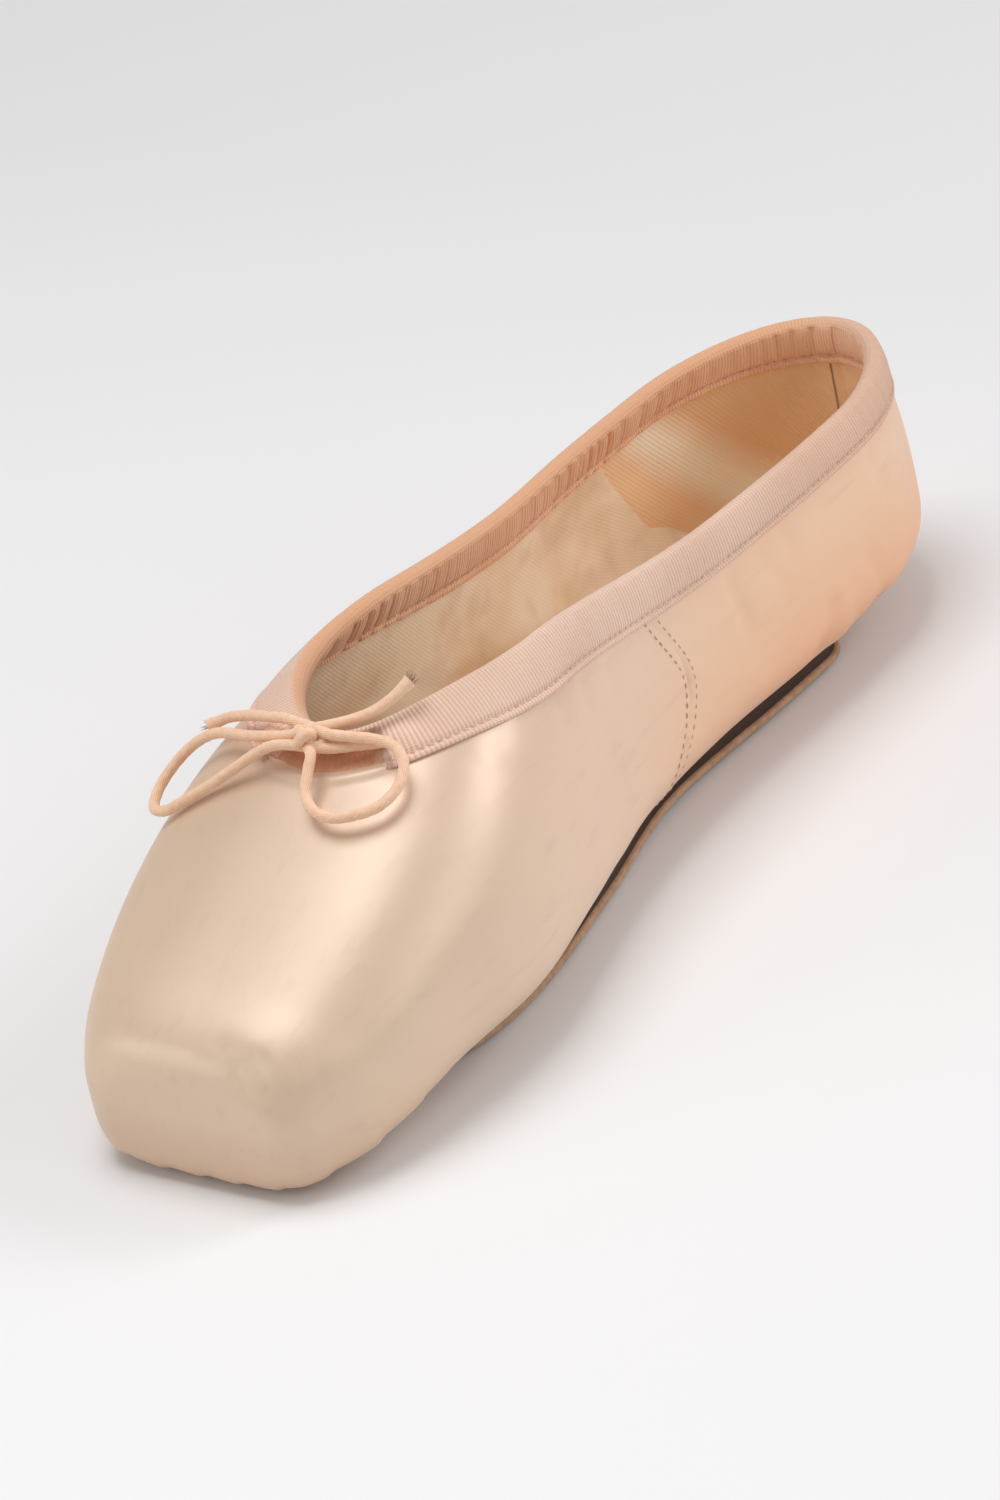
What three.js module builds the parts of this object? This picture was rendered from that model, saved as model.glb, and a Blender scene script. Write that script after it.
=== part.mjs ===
// A pointe shoe, empty and standing unbent on its sole. Millimetres, +Z up, toe towards -Y, heel
// towards +Y. The origin is on the floor, under the middle of the shoe's length and width.
//
// Every piece is worked out from one surface, the closed last that the shoe is pulled over. A place
// on the last is a run (how far back, measured along its round ends too) and an angle round the
// section (-90 degrees under the foot, 0 at the widest height, 90 at the ridge).

import * as THREE from 'three';
import { mergeVertices } from 'three/addons/utils/BufferGeometryUtils.js';

// ---- driving sizes ----
const LENGTH = 236;
const TOE_ROUND = 4; // radius of the edge round the flat platform
const HEEL_ROUND = 38; // length of the rounded heel, seen from above
const HEEL_TUCK = 12.5; // how far the foot of the heel is pulled forward under it
const TUCK_RUN = 70; // length over which that tuck grows
const THROAT = 60; // platform to the front of the collar
const THROAT_ROUND = 38; // length over which the collar widens behind the throat
const WALL_BOX = 3; // stiffened wall round the toes
const WALL_QUARTER = 1.6; // satin, canvas and lining at the sides and heel
const GAP = 0.3; // between pieces that meet
const TAPE = 0.8; // thickness of the folded binding tape
const TAPE_GAP = 0.36; // between the tape and the edge that it folds over
const BINDING_INSIDE = 8;
const CORD = 2; // drawstring diameter
const INSOLE_THICK = 2;
const SOLE_FRONT = 37;
const SOLE_BACK = 206;
const SOLE_SEAM = 6; // the outsole laps this far over the edge of the upper's opening
const SOLE_BEVEL = 5; // width of the bevel along the outsole's lower edge
const BEVEL_RISE = 1.1;
const MIDDLE = (LENGTH + TAPE_GAP + TAPE) / 2; // half the whole length, with the binding at the heel

// ---- the last: one row for each section behind the platform ----
// under: height of the middle of the underside. half: half width at the height mid.
// crown: height of the closed ridge. upSquare, lowSquare: 2 is an ellipse, more is squarer.
const LAST = [
  { station: 0, under: 0.9, half: 21.8, mid: 13, crown: 25.5, upSquare: 2.8, lowSquare: 4.4 },
  { station: 6, under: 1.1, half: 26.2, mid: 14.4, crown: 29.8, upSquare: 2.8, lowSquare: 4.4 },
  { station: 15, under: 1.5, half: 31.2, mid: 15.6, crown: 34.5, upSquare: 2.75, lowSquare: 3.7 },
  { station: 35, under: 2.9, half: 36.2, mid: 19.2, crown: 45.5, upSquare: 2.8, lowSquare: 2.6 },
  { station: 60, under: 3.3, half: 38.2, mid: 20.2, crown: 58.0, upSquare: 2.5, lowSquare: 2.5 },
  { station: 85, under: 3.3, half: 33.2, mid: 20.3, crown: 67.0, upSquare: 2.25, lowSquare: 2.35 },
  { station: 115, under: 3.6, half: 27.0, mid: 21, crown: 73.0, upSquare: 2.2, lowSquare: 2.1 },
  { station: 145, under: 4.0, half: 26.0, mid: 21, crown: 74.0, upSquare: 2.2, lowSquare: 2.05 },
  { station: 175, under: 4.0, half: 28.3, mid: 21, crown: 69.0, upSquare: 2.2, lowSquare: 2.1 },
  { station: 205, under: 4.2, half: 28.8, mid: 21, crown: 65.0, upSquare: 2.2, lowSquare: 2.2 },
  { station: 236, under: 5.0, half: 27.5, mid: 21.5, crown: 63.5, upSquare: 2.2, lowSquare: 2.4 },
];

// half width of the collar's opening, once the round of the throat is full
const COLLAR = [
  { station: 60, half: 20.5 },
  { station: 115, half: 20.6 },
  { station: 145, half: 21.8 },
  { station: 175, half: 23.0 },
  { station: 205, half: 22.6 },
  { station: 236, half: 21.5 },
];

// half width of the leather outsole, and how far its underside is off the floor
const OUTSOLE = [
  { station: 37, half: 20.0, lift: 1.0 },
  { station: 55, half: 25.0, lift: 0.25 },
  { station: 72, half: 25.5, lift: 0 },
  { station: 104, half: 20.5, lift: 0 },
  { station: 132, half: 15.5, lift: 0.9 },
  { station: 158, half: 15.5, lift: 0.1 },
  { station: 166, half: 16.2, lift: 0 },
  { station: 206, half: 18.0, lift: 0 },
];

// half width of the insole board, seen from above
const INSOLE = [
  { station: 12, half: 17 },
  { station: 30, half: 25 },
  { station: 62, half: 28.5 },
  { station: 100, half: 20 },
  { station: 140, half: 15 },
  { station: 175, half: 17 },
  { station: 218, half: 14 },
];

// how far the binding reaches down the outside
const BINDING_REACH = [
  { station: 60, reach: 10 },
  { station: 95, reach: 9.5 },
  { station: 125, reach: 8.4 },
  { station: 160, reach: 7.5 },
  { station: 236, reach: 6.8 },
];

// ---- reading the tables ----
function tableOf(rows) {
  const columns = Object.keys(rows[0]).filter((name) => name !== 'station');
  const stations = rows.map((row) => row.station);
  const values = rows.flatMap((row) => columns.map((name) => row[name]));
  const curve = new THREE.CubicInterpolant(stations, values, columns.length);
  return (station) => {
    const found = curve.evaluate(THREE.MathUtils.clamp(station, stations[0], stations.at(-1)));
    return Object.fromEntries(columns.map((name, index) => [name, found[index]]));
  };
}

const lastAt = tableOf(LAST);
const collarAt = tableOf(COLLAR);
const outsoleAt = tableOf(OUTSOLE);
const insoleAt = tableOf(INSOLE);
const bindingAt = tableOf(BINDING_REACH);

// ---- the last's surface ----
const QUARTER_TURN = Math.PI / 2;
const TOE_RUN = TOE_ROUND * QUARTER_TURN;
const HEEL_START = TOE_RUN + (LENGTH - HEEL_ROUND - TOE_ROUND);
const FULL_RUN = HEEL_START + HEEL_ROUND * QUARTER_TURN;

function placeOf(run) {
  if (run < TOE_RUN) {
    const turn = Math.max(run, 0) / TOE_ROUND;
    return { station: TOE_ROUND * (1 - Math.cos(turn)), inset: TOE_ROUND * (1 - Math.sin(turn)), closing: 1 };
  }
  if (run < HEEL_START) return { station: run - TOE_RUN + TOE_ROUND, inset: 0, closing: 1 };
  const turn = (run - HEEL_START) / HEEL_ROUND;
  return { station: LENGTH - HEEL_ROUND * (1 - Math.sin(turn)), inset: 0, closing: Math.cos(turn) };
}

function runOf(station) {
  if (station < TOE_ROUND) return TOE_ROUND * Math.acos(1 - station / TOE_ROUND);
  const heel = LENGTH - HEEL_ROUND;
  if (station < heel) return station - TOE_ROUND + TOE_RUN;
  return HEEL_START + HEEL_ROUND * Math.asin((station - heel) / HEEL_ROUND);
}

function lastPoint(run, angle) {
  const { station, inset, closing } = placeOf(run);
  const row = lastAt(station);
  const upward = angle >= 0;
  const square = upward ? row.upSquare : row.lowSquare;
  const across = Math.max(Math.cos(angle), 0) ** (2 / square);
  const rise = Math.min(Math.abs(Math.sin(angle)), 1) ** (2 / square);
  const reach = upward ? row.crown - inset - row.mid : row.under + inset - row.mid;
  const grown = THREE.MathUtils.smoothstep(station, LENGTH - TUCK_RUN, LENGTH);
  const tuck = upward ? 0 : HEEL_TUCK * (1 - Math.sqrt(Math.max(1 - rise * rise, 0)));
  return new THREE.Vector3(
    (row.half - inset) * across * closing,
    station - MIDDLE - tuck * grown,
    row.mid + reach * rise,
  );
}

const STEP = 1e-3;

function slopes(run, angle) {
  const low = Math.max(angle - STEP, -QUARTER_TURN);
  const high = Math.min(angle + STEP, QUARTER_TURN);
  const start = Math.max(run - STEP, 0);
  const back = lastPoint(run + STEP, angle).sub(lastPoint(start, angle)).divideScalar(run + STEP - start);
  const round = lastPoint(run, high).sub(lastPoint(run, low)).divideScalar(high - low);
  return { back, round };
}

function outward(run, angle) {
  const { back, round } = slopes(run, angle);
  const normal = back.cross(round);
  if (Math.abs(angle) > QUARTER_TURN - STEP || run > FULL_RUN - STEP) normal.x = 0;
  return normal.normalize();
}

// a place on the last, moved out (or, below zero, in) by an offset
function skin(run, angle, offset) {
  return lastPoint(run, angle).addScaledVector(outward(run, angle), offset);
}

function wallAt(station) {
  return WALL_BOX + (WALL_QUARTER - WALL_BOX) * THREE.MathUtils.smoothstep(station, 40, 95);
}

// the angle at which the last is so far from the middle, above or below its widest height
function angleAcross(fraction, square) {
  return Math.acos(Math.min(Math.max(fraction, 0), 1) ** (square / 2));
}

// a quarter ellipse that brings a width to nothing over its last stretch
function roundedEnd(distance, stretch) {
  const left = 1 - THREE.MathUtils.clamp(distance / stretch, 0, 1);
  return Math.sqrt(1 - left * left);
}

function collarAngle(run) {
  const { station } = placeOf(run);
  const { half, upSquare } = lastAt(station);
  const open = collarAt(station).half * roundedEnd(station - THROAT, THROAT_ROUND);
  return angleAcross(open / half, upSquare);
}

const SEAT_FRONT = SOLE_FRONT + SOLE_SEAM;
const SEAT_BACK = SOLE_BACK - SOLE_SEAM;
const SEAT_ROUND = 12;
const SOLE_ROUND = 16;

function soleHalf(station) {
  const ends = roundedEnd(station - SOLE_FRONT, SOLE_ROUND) * roundedEnd(SOLE_BACK - station, SOLE_ROUND);
  return outsoleAt(station).half * ends;
}

function seatAngle(run) {
  const { station } = placeOf(run);
  const { half, lowSquare } = lastAt(station);
  const ends = roundedEnd(station - SEAT_FRONT, SEAT_ROUND) * roundedEnd(SEAT_BACK - station, SEAT_ROUND);
  const open = (outsoleAt(station).half - SOLE_SEAM) * ends;
  return -angleAcross(open / half, lowSquare);
}

// ---- meshes ----
const TOUCHING = 1e-4; // places nearer to each other than this are one

// Collects four-cornered faces and closes them into one body.
class Skin {
  constructor() {
    this.corners = [];
  }

  face(a, b, c, d) {
    for (const corner of [a, b, c, a, c, d]) this.corners.push(corner.x, corner.y, corner.z);
  }

  // rows of points, all of one length, faced so that rows run back and points run round
  sheet(rows, flip = false) {
    for (let row = 0; row + 1 < rows.length; row += 1) {
      for (let at = 0; at + 1 < rows[row].length; at += 1) {
        const corners = [rows[row][at], rows[row][at + 1], rows[row + 1][at + 1], rows[row + 1][at]];
        this.face(...(flip ? corners.reverse() : corners));
      }
    }
  }

  geometry() {
    const loose = new THREE.BufferGeometry();
    loose.setAttribute('position', new THREE.Float32BufferAttribute(this.corners, 3));
    const merged = mergeVertices(loose, TOUCHING);
    const index = merged.getIndex().array;
    const kept = [];
    for (let at = 0; at < index.length; at += 3) {
      const [a, b, c] = index.slice(at, at + 3);
      if (a !== b && b !== c && c !== a) kept.push(a, b, c);
    }
    merged.setIndex(kept);
    merged.computeVertexNormals();
    return merged;
  }
}

function mirrored(point) {
  return new THREE.Vector3(-point.x, point.y, point.z);
}

function span(from, to, count) {
  return Array.from({ length: count }, (_, index) => from + ((to - from) * index) / count);
}

// stations that crowd towards the start of a rounded end
function crowded(from, length, count) {
  return span(0, QUARTER_TURN, count).map((turn) => from + length * (1 - Math.cos(turn)));
}

// ---- the upper: one hollow wall, open at the collar and over the sole ----
const UPPER_AROUND = 17;

function upperRuns() {
  const front = span(0, TOE_RUN, 4);
  const box = span(TOE_ROUND, SEAT_FRONT, 6).map(runOf);
  const seat = crowded(SEAT_FRONT, SEAT_ROUND, 4).map(runOf);
  const throat = crowded(THROAT, THROAT_ROUND, 8).map(runOf);
  const waist = span(THROAT + THROAT_ROUND, SEAT_BACK - SEAT_ROUND, 9).map(runOf);
  const rear = crowded(0, SEAT_ROUND, 4).map((back) => runOf(SEAT_BACK - back)).reverse();
  const heel = span(runOf(SEAT_BACK), FULL_RUN, 8).slice(1);
  return [...front, ...box, ...seat, runOf(SEAT_FRONT + SEAT_ROUND), ...throat, ...waist, ...rear, ...heel, FULL_RUN];
}

function upper() {
  const body = new Skin();
  const outer = [];
  const inner = [];
  for (const run of upperRuns()) {
    const top = collarAngle(run);
    const bottom = seatAngle(run);
    const wall = wallAt(placeOf(run).station);
    const angles = [...span(top, bottom, UPPER_AROUND), bottom];
    outer.push(angles.map((angle) => skin(run, angle, 0)));
    inner.push(angles.map((angle) => skin(run, angle, -wall)));
  }
  for (const side of [(point) => point, mirrored]) {
    const flip = side === mirrored;
    const sided = (rows) => rows.map((row) => row.map(side));
    body.sheet(sided(outer), flip);
    body.sheet(sided(inner), !flip);
    const rim = (rows, at) => rows.map((row) => side(row[at]));
    const isOpen = (row, at) => outer[row][at].x > TOUCHING || outer[row + 1][at].x > TOUCHING;
    for (const at of [0, UPPER_AROUND]) {
      const outside = rim(outer, at);
      const inside = rim(inner, at);
      const isTop = at === 0;
      for (let row = 0; row + 1 < outer.length; row += 1) {
        if (!isOpen(row, at)) continue;
        const corners = [outside[row], outside[row + 1], inside[row + 1], inside[row]];
        body.face(...(flip === isTop ? corners.reverse() : corners));
      }
    }
  }
  // the platform: the outside and inside of the flat toe
  body.sheet([outer[0].map(mirrored), outer[0]]);
  body.sheet([inner[0].map(mirrored), inner[0]], true);
  return body.geometry();
}

// ---- a sheet that lies along the underside, between two heights worked out for each place ----
const SHEET_ACROSS = 6; // columns on each side of the middle

function flatSheet(stations, halfAt, topOf, bottomOf) {
  const body = new Skin();
  const tops = [];
  const bottoms = [];
  for (const station of stations) {
    const run = runOf(station);
    const { half, lowSquare } = lastAt(station);
    const top = [];
    const bottom = [];
    for (let column = -SHEET_ACROSS; column <= SHEET_ACROSS; column += 1) {
      const share = Math.abs(column) / SHEET_ACROSS;
      const angle = -angleAcross((share * halfAt(station)) / half, lowSquare);
      const place = column < 0 ? mirrored : (point) => point;
      top.push(place(topOf(run, angle, share, station)));
      bottom.push(place(bottomOf(run, angle, share, station)));
    }
    tops.push(top);
    bottoms.push(bottom);
  }
  body.sheet(tops);
  body.sheet(bottoms, true);
  const left = (rows) => rows.map((row) => row[0]);
  const right = (rows) => rows.map((row) => row.at(-1));
  body.sheet([left(tops), left(bottoms)]);
  body.sheet([right(tops), right(bottoms)], true);
  return body.geometry();
}

// ---- the outsole: flat under the ball and under its rear end ----
function outsole() {
  const above = (run, angle) => skin(run, angle, GAP);
  const below = (run, angle, share, station) => {
    const point = skin(run, angle, GAP);
    const inFromEdge = (1 - share) * soleHalf(station);
    const bevel = 1 - THREE.MathUtils.smoothstep(inFromEdge, 0, SOLE_BEVEL);
    point.z = Math.max(outsoleAt(station).lift, 0) + BEVEL_RISE * bevel;
    return point;
  };
  const stations = [
    ...crowded(SOLE_FRONT, SOLE_ROUND, 6),
    ...span(SOLE_FRONT + SOLE_ROUND, SOLE_BACK - SOLE_ROUND, 12),
    ...crowded(0, SOLE_ROUND, 6).map((back) => SOLE_BACK - back).reverse(),
  ];
  return flatSheet(stations, soleHalf, above, below);
}

// ---- the insole: a board on the upper's turned-in margin ----
const INSOLE_FRONT = 12;
const INSOLE_BACK = 218;
const INSOLE_ROUND = 15;

function insole() {
  const over = (extra) => (run, angle, share, station) => skin(run, angle, -(wallAt(station) + GAP + extra));
  const halfAt = (station) => {
    const ends = roundedEnd(station - INSOLE_FRONT, INSOLE_ROUND);
    return insoleAt(station).half * ends * roundedEnd(INSOLE_BACK - station, INSOLE_ROUND);
  };
  const stations = [
    ...crowded(INSOLE_FRONT, INSOLE_ROUND, 5),
    ...span(INSOLE_FRONT + INSOLE_ROUND, INSOLE_BACK - INSOLE_ROUND, 16),
    ...crowded(0, INSOLE_ROUND, 5).map((back) => INSOLE_BACK - back).reverse(),
  ];
  return flatSheet(stations, halfAt, over(INSOLE_THICK), over(0));
}

// ---- the collar's binding: a tape casing folded over the edge all the way round ----
// share: how far down the tape's side, from its fold at 0 to its sewn edge at 1. rise: distance
// above the collar's edge. off: distance off the wall, on its outside or its inside.
const FOLD = 1; // how far the tape's fold rounds over the edge
const BINDING = [
  { side: 'outside', share: 1, rise: 0, off: TAPE_GAP },
  { side: 'outside', share: 1, rise: 0, off: TAPE_GAP + TAPE },
  { side: 'outside', share: 0.5, rise: 0, off: TAPE_GAP + TAPE },
  { side: 'outside', share: 0, rise: 0, off: TAPE_GAP + TAPE },
  { side: 'outside', share: 0, rise: FOLD, off: TAPE / 2 },
  { side: 'inside', share: 0, rise: FOLD, off: TAPE / 2 },
  { side: 'inside', share: 0, rise: 0, off: TAPE_GAP + TAPE },
  { side: 'inside', share: 0.5, rise: 0, off: TAPE_GAP + TAPE },
  { side: 'inside', share: 1, rise: 0, off: TAPE_GAP + TAPE },
  { side: 'inside', share: 1, rise: 0, off: TAPE_GAP },
  { side: 'inside', share: 0.5, rise: 0, off: TAPE_GAP },
  { side: 'inside', share: 0, rise: TAPE_GAP, off: TAPE_GAP },
  { side: 'outside', share: 0, rise: TAPE_GAP, off: TAPE_GAP },
  { side: 'outside', share: 0.5, rise: 0, off: TAPE_GAP },
];

// slides a place on the last along a direction, in short steps that follow the surface
function slide(place, direction, distance) {
  const steps = 4;
  let { run, angle } = place;
  for (let step = 0; step < steps; step += 1) {
    const { back, round } = slopes(run, angle);
    const across = back.dot(round);
    const scale = back.lengthSq() * round.lengthSq() - across * across;
    const alongBack = direction.dot(back);
    const alongRound = direction.dot(round);
    const move = distance / steps / scale;
    run += move * (alongBack * round.lengthSq() - alongRound * across);
    angle += move * (alongRound * back.lengthSq() - alongBack * across);
    angle = Math.min(angle, QUARTER_TURN);
    run = Math.min(run, FULL_RUN);
  }
  return { run, angle };
}

function collarRuns() {
  const throat = crowded(THROAT, THROAT_ROUND, 8).map(runOf);
  const waist = span(THROAT + THROAT_ROUND, LENGTH - HEEL_ROUND, 12).map(runOf);
  return [...throat, ...waist, ...span(HEEL_START, FULL_RUN, 8), FULL_RUN];
}

function edgePoint(run) {
  return lastPoint(run, collarAngle(run));
}

// the collar's edge at a run, and the way down from it along the wall
function collarFrame(run) {
  const angle = collarAngle(run);
  const isFront = run < runOf(THROAT) + STEP;
  const isBack = run > FULL_RUN - STEP;
  const along = new THREE.Vector3(isFront ? 1 : -1, 0, 0);
  if (!isFront && !isBack) along.copy(edgePoint(run + STEP)).sub(edgePoint(run - STEP)).normalize();
  const down = new THREE.Vector3().crossVectors(along, outward(run, angle)).normalize();
  return { run, angle, down, isMiddle: isFront || isBack };
}

function bindingRing(run) {
  const edge = collarFrame(run);
  const { reach } = bindingAt(placeOf(run).station);
  return BINDING.map(({ side, share, rise, off }) => {
    const down = share * (side === 'outside' ? reach : BINDING_INSIDE);
    const below = down > 0 ? slide(edge, edge.down, down) : edge;
    const wall = wallAt(placeOf(below.run).station);
    const offset = side === 'outside' ? off : -(wall + off);
    const point = skin(below.run, below.angle, offset);
    point.addScaledVector(edge.down, -rise);
    if (edge.isMiddle) point.x = 0;
    return point;
  });
}

function collarBinding() {
  const body = new Skin();
  const rings = collarRuns().map(bindingRing);
  for (const ring of rings) ring.push(ring[0].clone());
  body.sheet(rings, true);
  body.sheet(rings.map((ring) => ring.map(mirrored)));
  return body.geometry();
}

// ---- the drawstring: it leaves the casing on both sides of the throat and is tied in a bow ----
const KNOT = { centre: [0.5, -64, 61.1], radii: [3.4, 3.6, 2.8] };
const ROUTES = {
  drawstring_lead_left: [[-11.2, -60.8, 59.3], [-7.4, -62.7, 59], [-3.5, -64, 59.2]],
  drawstring_lead_right: [[13.4, -58.6, 59.5], [9.3, -61.5, 59.1], [4.5, -64, 59.2]],
  drawstring_loop_left: [
    [-3.1, -66.5, 60.3],
    [-6.2, -67, 59.8],
    [-9.4, -67.6, 58.2],
    [-13, -69, 55.9],
    [-18.4, -71, 52.4],
    [-24.2, -72.5, 49],
    [-29.2, -73.2, 46.2],
    [-32.9, -71.8, 45.3],
    [-34.3, -68.4, 46.5],
    [-33.2, -64.6, 49.3],
    [-29.2, -61.9, 53.3],
    [-23.7, -61.7, 56.5],
    [-19, -62.6, 57.9],
    [-14, -64, 59],
    [-8.8, -64.9, 60.2],
    [-3.4, -64.8, 61.2],
  ],
  drawstring_loop_right: [
    [3.2, -67.4, 60],
    [3.1, -70.3, 57],
    [4.4, -73.2, 54.8],
    [7.4, -75.2, 53.5],
    [11.2, -75.6, 52.9],
    [15.4, -74, 53.2],
    [18.9, -71, 53.9],
    [20.5, -67, 55.6],
    [19.9, -63.4, 57.8],
    [17.3, -61.5, 60],
    [13.2, -61.6, 61.1],
    [8.6, -62.6, 61.5],
    [4.3, -63.6, 61.8],
  ],
  drawstring_end_left: [
    [-3.2, -62.1, 62.3],
    [-6.4, -61.5, 62.3],
    [-10, -61.1, 61.8],
    [-14.2, -60, 60.8],
    [-19, -58.6, 59.2],
    [-23.6, -57.4, 57.3],
    [-28, -56.8, 54.9],
  ],
  drawstring_end_right: [
    [3.6, -61.6, 62.5],
    [6.6, -59.4, 62.7],
    [9.6, -56.6, 63.2],
    [12.2, -53.5, 64.6],
    [14.3, -50, 66.6],
  ],
};
const CORD_SIDES = 8;
const CORD_STEP = 5;

function cordAlong(points) {
  const path = new THREE.CatmullRomCurve3(points.map((point) => new THREE.Vector3(...point)));
  const round = span(0, 2 * Math.PI, CORD_SIDES);
  const section = new THREE.Shape(
    round.map((turn) => new THREE.Vector2(Math.cos(turn), Math.sin(turn)).multiplyScalar(CORD / 2)),
  );
  const steps = Math.max(Math.round(path.getLength() / CORD_STEP), 2);
  return new THREE.ExtrudeGeometry(section, { extrudePath: path, steps });
}

function knot() {
  const ball = new THREE.SphereGeometry(1, 12, 8);
  return ball.scale(...KNOT.radii).translate(...KNOT.centre);
}

// ---- the shoe ----
const shoe = new THREE.Group();

function add(name, geometry, colour, roughness) {
  const material = new THREE.MeshStandardMaterial({ color: colour, roughness, metalness: 0 });
  const mesh = new THREE.Mesh(geometry, material);
  mesh.name = name;
  shoe.add(mesh);
}

add('upper', upper(), 0xe3c4a6, 0.4);
add('outsole', outsole(), 0x9c7b66, 0.65);
add('insole', insole(), 0xd9c9ad, 0.85);
add('collar_binding', collarBinding(), 0xe6c6b2, 0.8);
add('drawstring_knot', knot(), 0xf0c9a8, 0.7);
for (const [name, route] of Object.entries(ROUTES)) {
  add(name, cordAlong(route), 0xf0c9a8, 0.7);
}

export default shoe;
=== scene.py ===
import math

import bmesh
import bpy
import numpy as np
from mathutils import Matrix, Vector


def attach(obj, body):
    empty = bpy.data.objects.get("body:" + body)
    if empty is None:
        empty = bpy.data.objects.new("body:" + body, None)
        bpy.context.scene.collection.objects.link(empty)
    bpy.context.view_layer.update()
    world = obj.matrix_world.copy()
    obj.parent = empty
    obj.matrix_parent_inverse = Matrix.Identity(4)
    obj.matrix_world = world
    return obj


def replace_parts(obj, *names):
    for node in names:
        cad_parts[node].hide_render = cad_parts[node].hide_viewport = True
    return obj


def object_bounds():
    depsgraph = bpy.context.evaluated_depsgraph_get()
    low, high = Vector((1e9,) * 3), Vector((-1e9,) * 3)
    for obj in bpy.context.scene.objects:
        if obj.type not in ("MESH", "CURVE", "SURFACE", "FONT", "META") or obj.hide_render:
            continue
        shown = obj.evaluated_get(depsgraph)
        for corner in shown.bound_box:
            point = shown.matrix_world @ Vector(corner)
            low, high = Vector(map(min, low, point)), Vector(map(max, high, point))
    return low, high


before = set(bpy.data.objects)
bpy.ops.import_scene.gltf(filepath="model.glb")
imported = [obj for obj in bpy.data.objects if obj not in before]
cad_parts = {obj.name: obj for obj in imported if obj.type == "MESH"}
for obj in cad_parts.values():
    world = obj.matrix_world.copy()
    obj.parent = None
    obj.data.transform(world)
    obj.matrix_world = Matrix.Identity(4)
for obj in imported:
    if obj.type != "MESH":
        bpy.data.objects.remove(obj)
cad_low, cad_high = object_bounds()


# ---- The camera ----
# It looks down on the shoe from beside the toe, and is rolled, so that the shoe seems to climb
# towards its heel.
MM = 0.001
DISTANCE = 1165 * MM
LENS = 150
azimuth, elevation, roll = (math.radians(angle) for angle in (39.3, 29.0, -12.4))
towards = Vector((
    math.sin(azimuth) * math.cos(elevation),
    -math.cos(azimuth) * math.cos(elevation),
    math.sin(elevation),
))
level = Vector((math.cos(azimuth), math.sin(azimuth), 0))
upright = towards.cross(level)
sideways = level * math.cos(roll) + upright * math.sin(roll)
upwards = upright * math.cos(roll) - level * math.sin(roll)
waist = Vector((0, 0, 25 * MM))
camera_place = waist + towards * DISTANCE
aim = waist - sideways * 7.5 * MM - upwards * 4 * MM
axis = (camera_place - aim).normalized()
across = (sideways - axis * sideways.dot(axis)).normalized()
over = axis.cross(across)
camera = bpy.data.objects.new("camera", bpy.data.cameras.new("camera"))
camera.data.lens = LENS
camera.data.sensor_width = 36
camera.data.clip_start = 0.05
camera.data.clip_end = 20
camera.matrix_world = Matrix((
    (across.x, over.x, axis.x, camera_place.x),
    (across.y, over.y, axis.y, camera_place.y),
    (across.z, over.z, axis.z, camera_place.z),
    (0, 0, 0, 1),
))
bpy.context.scene.collection.objects.link(camera)
bpy.context.scene.camera = camera


# ---- The drawstring ----
# A thin braided cotton cord in two strings. Each leaves the casing at one side of the throat,
# runs through the knot, makes the loop on the other side, and comes back to a short cut end.
def read_table(rows):
    """A smooth curve through the rows of a table. Its first column says where each row is."""
    table = np.array(rows, float)
    places = table[:, 0]
    values = table[:, 1:]
    steps = np.diff(values, axis=0) / np.diff(places)[:, None]
    slopes = np.vstack([steps[:1], (steps[1:] + steps[:-1]) / 2, steps[-1:]])

    def at(place):
        place = np.clip(np.asarray(place, float), places[0], places[-1])
        row = np.clip(np.searchsorted(places, place, side="right") - 1, 0, len(places) - 2)
        length = places[row + 1] - places[row]
        t = ((place - places[row]) / length)[..., None]
        length = length[..., None]
        start = values[row] * (1 + 2 * t) * (1 - t) ** 2 + slopes[row] * length * t * (1 - t) ** 2
        end = values[row + 1] * (3 - 2 * t) * t ** 2 - slopes[row + 1] * length * t ** 2 * (1 - t)
        return start + end

    return at


def lengths_along(route):
    """How far along a route each of its places is."""
    return np.concatenate([[0], np.cumsum(np.linalg.norm(np.diff(route, axis=0), axis=1))])


def unit(ways):
    """The same ways, each with a length of 1."""
    return ways / np.maximum(np.linalg.norm(ways, axis=-1, keepdims=True), 1e-9)


def smooth_route(points, spacing):
    """Evenly spaced places on a smooth curve through the points."""
    points = np.array(points, float)
    for _ in range(2):
        gone = lengths_along(points)
        curve = read_table(np.column_stack([gone, points]))
        points = curve(np.linspace(0, gone[-1], max(int(gone[-1] / spacing), 8)))
    return points


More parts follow.
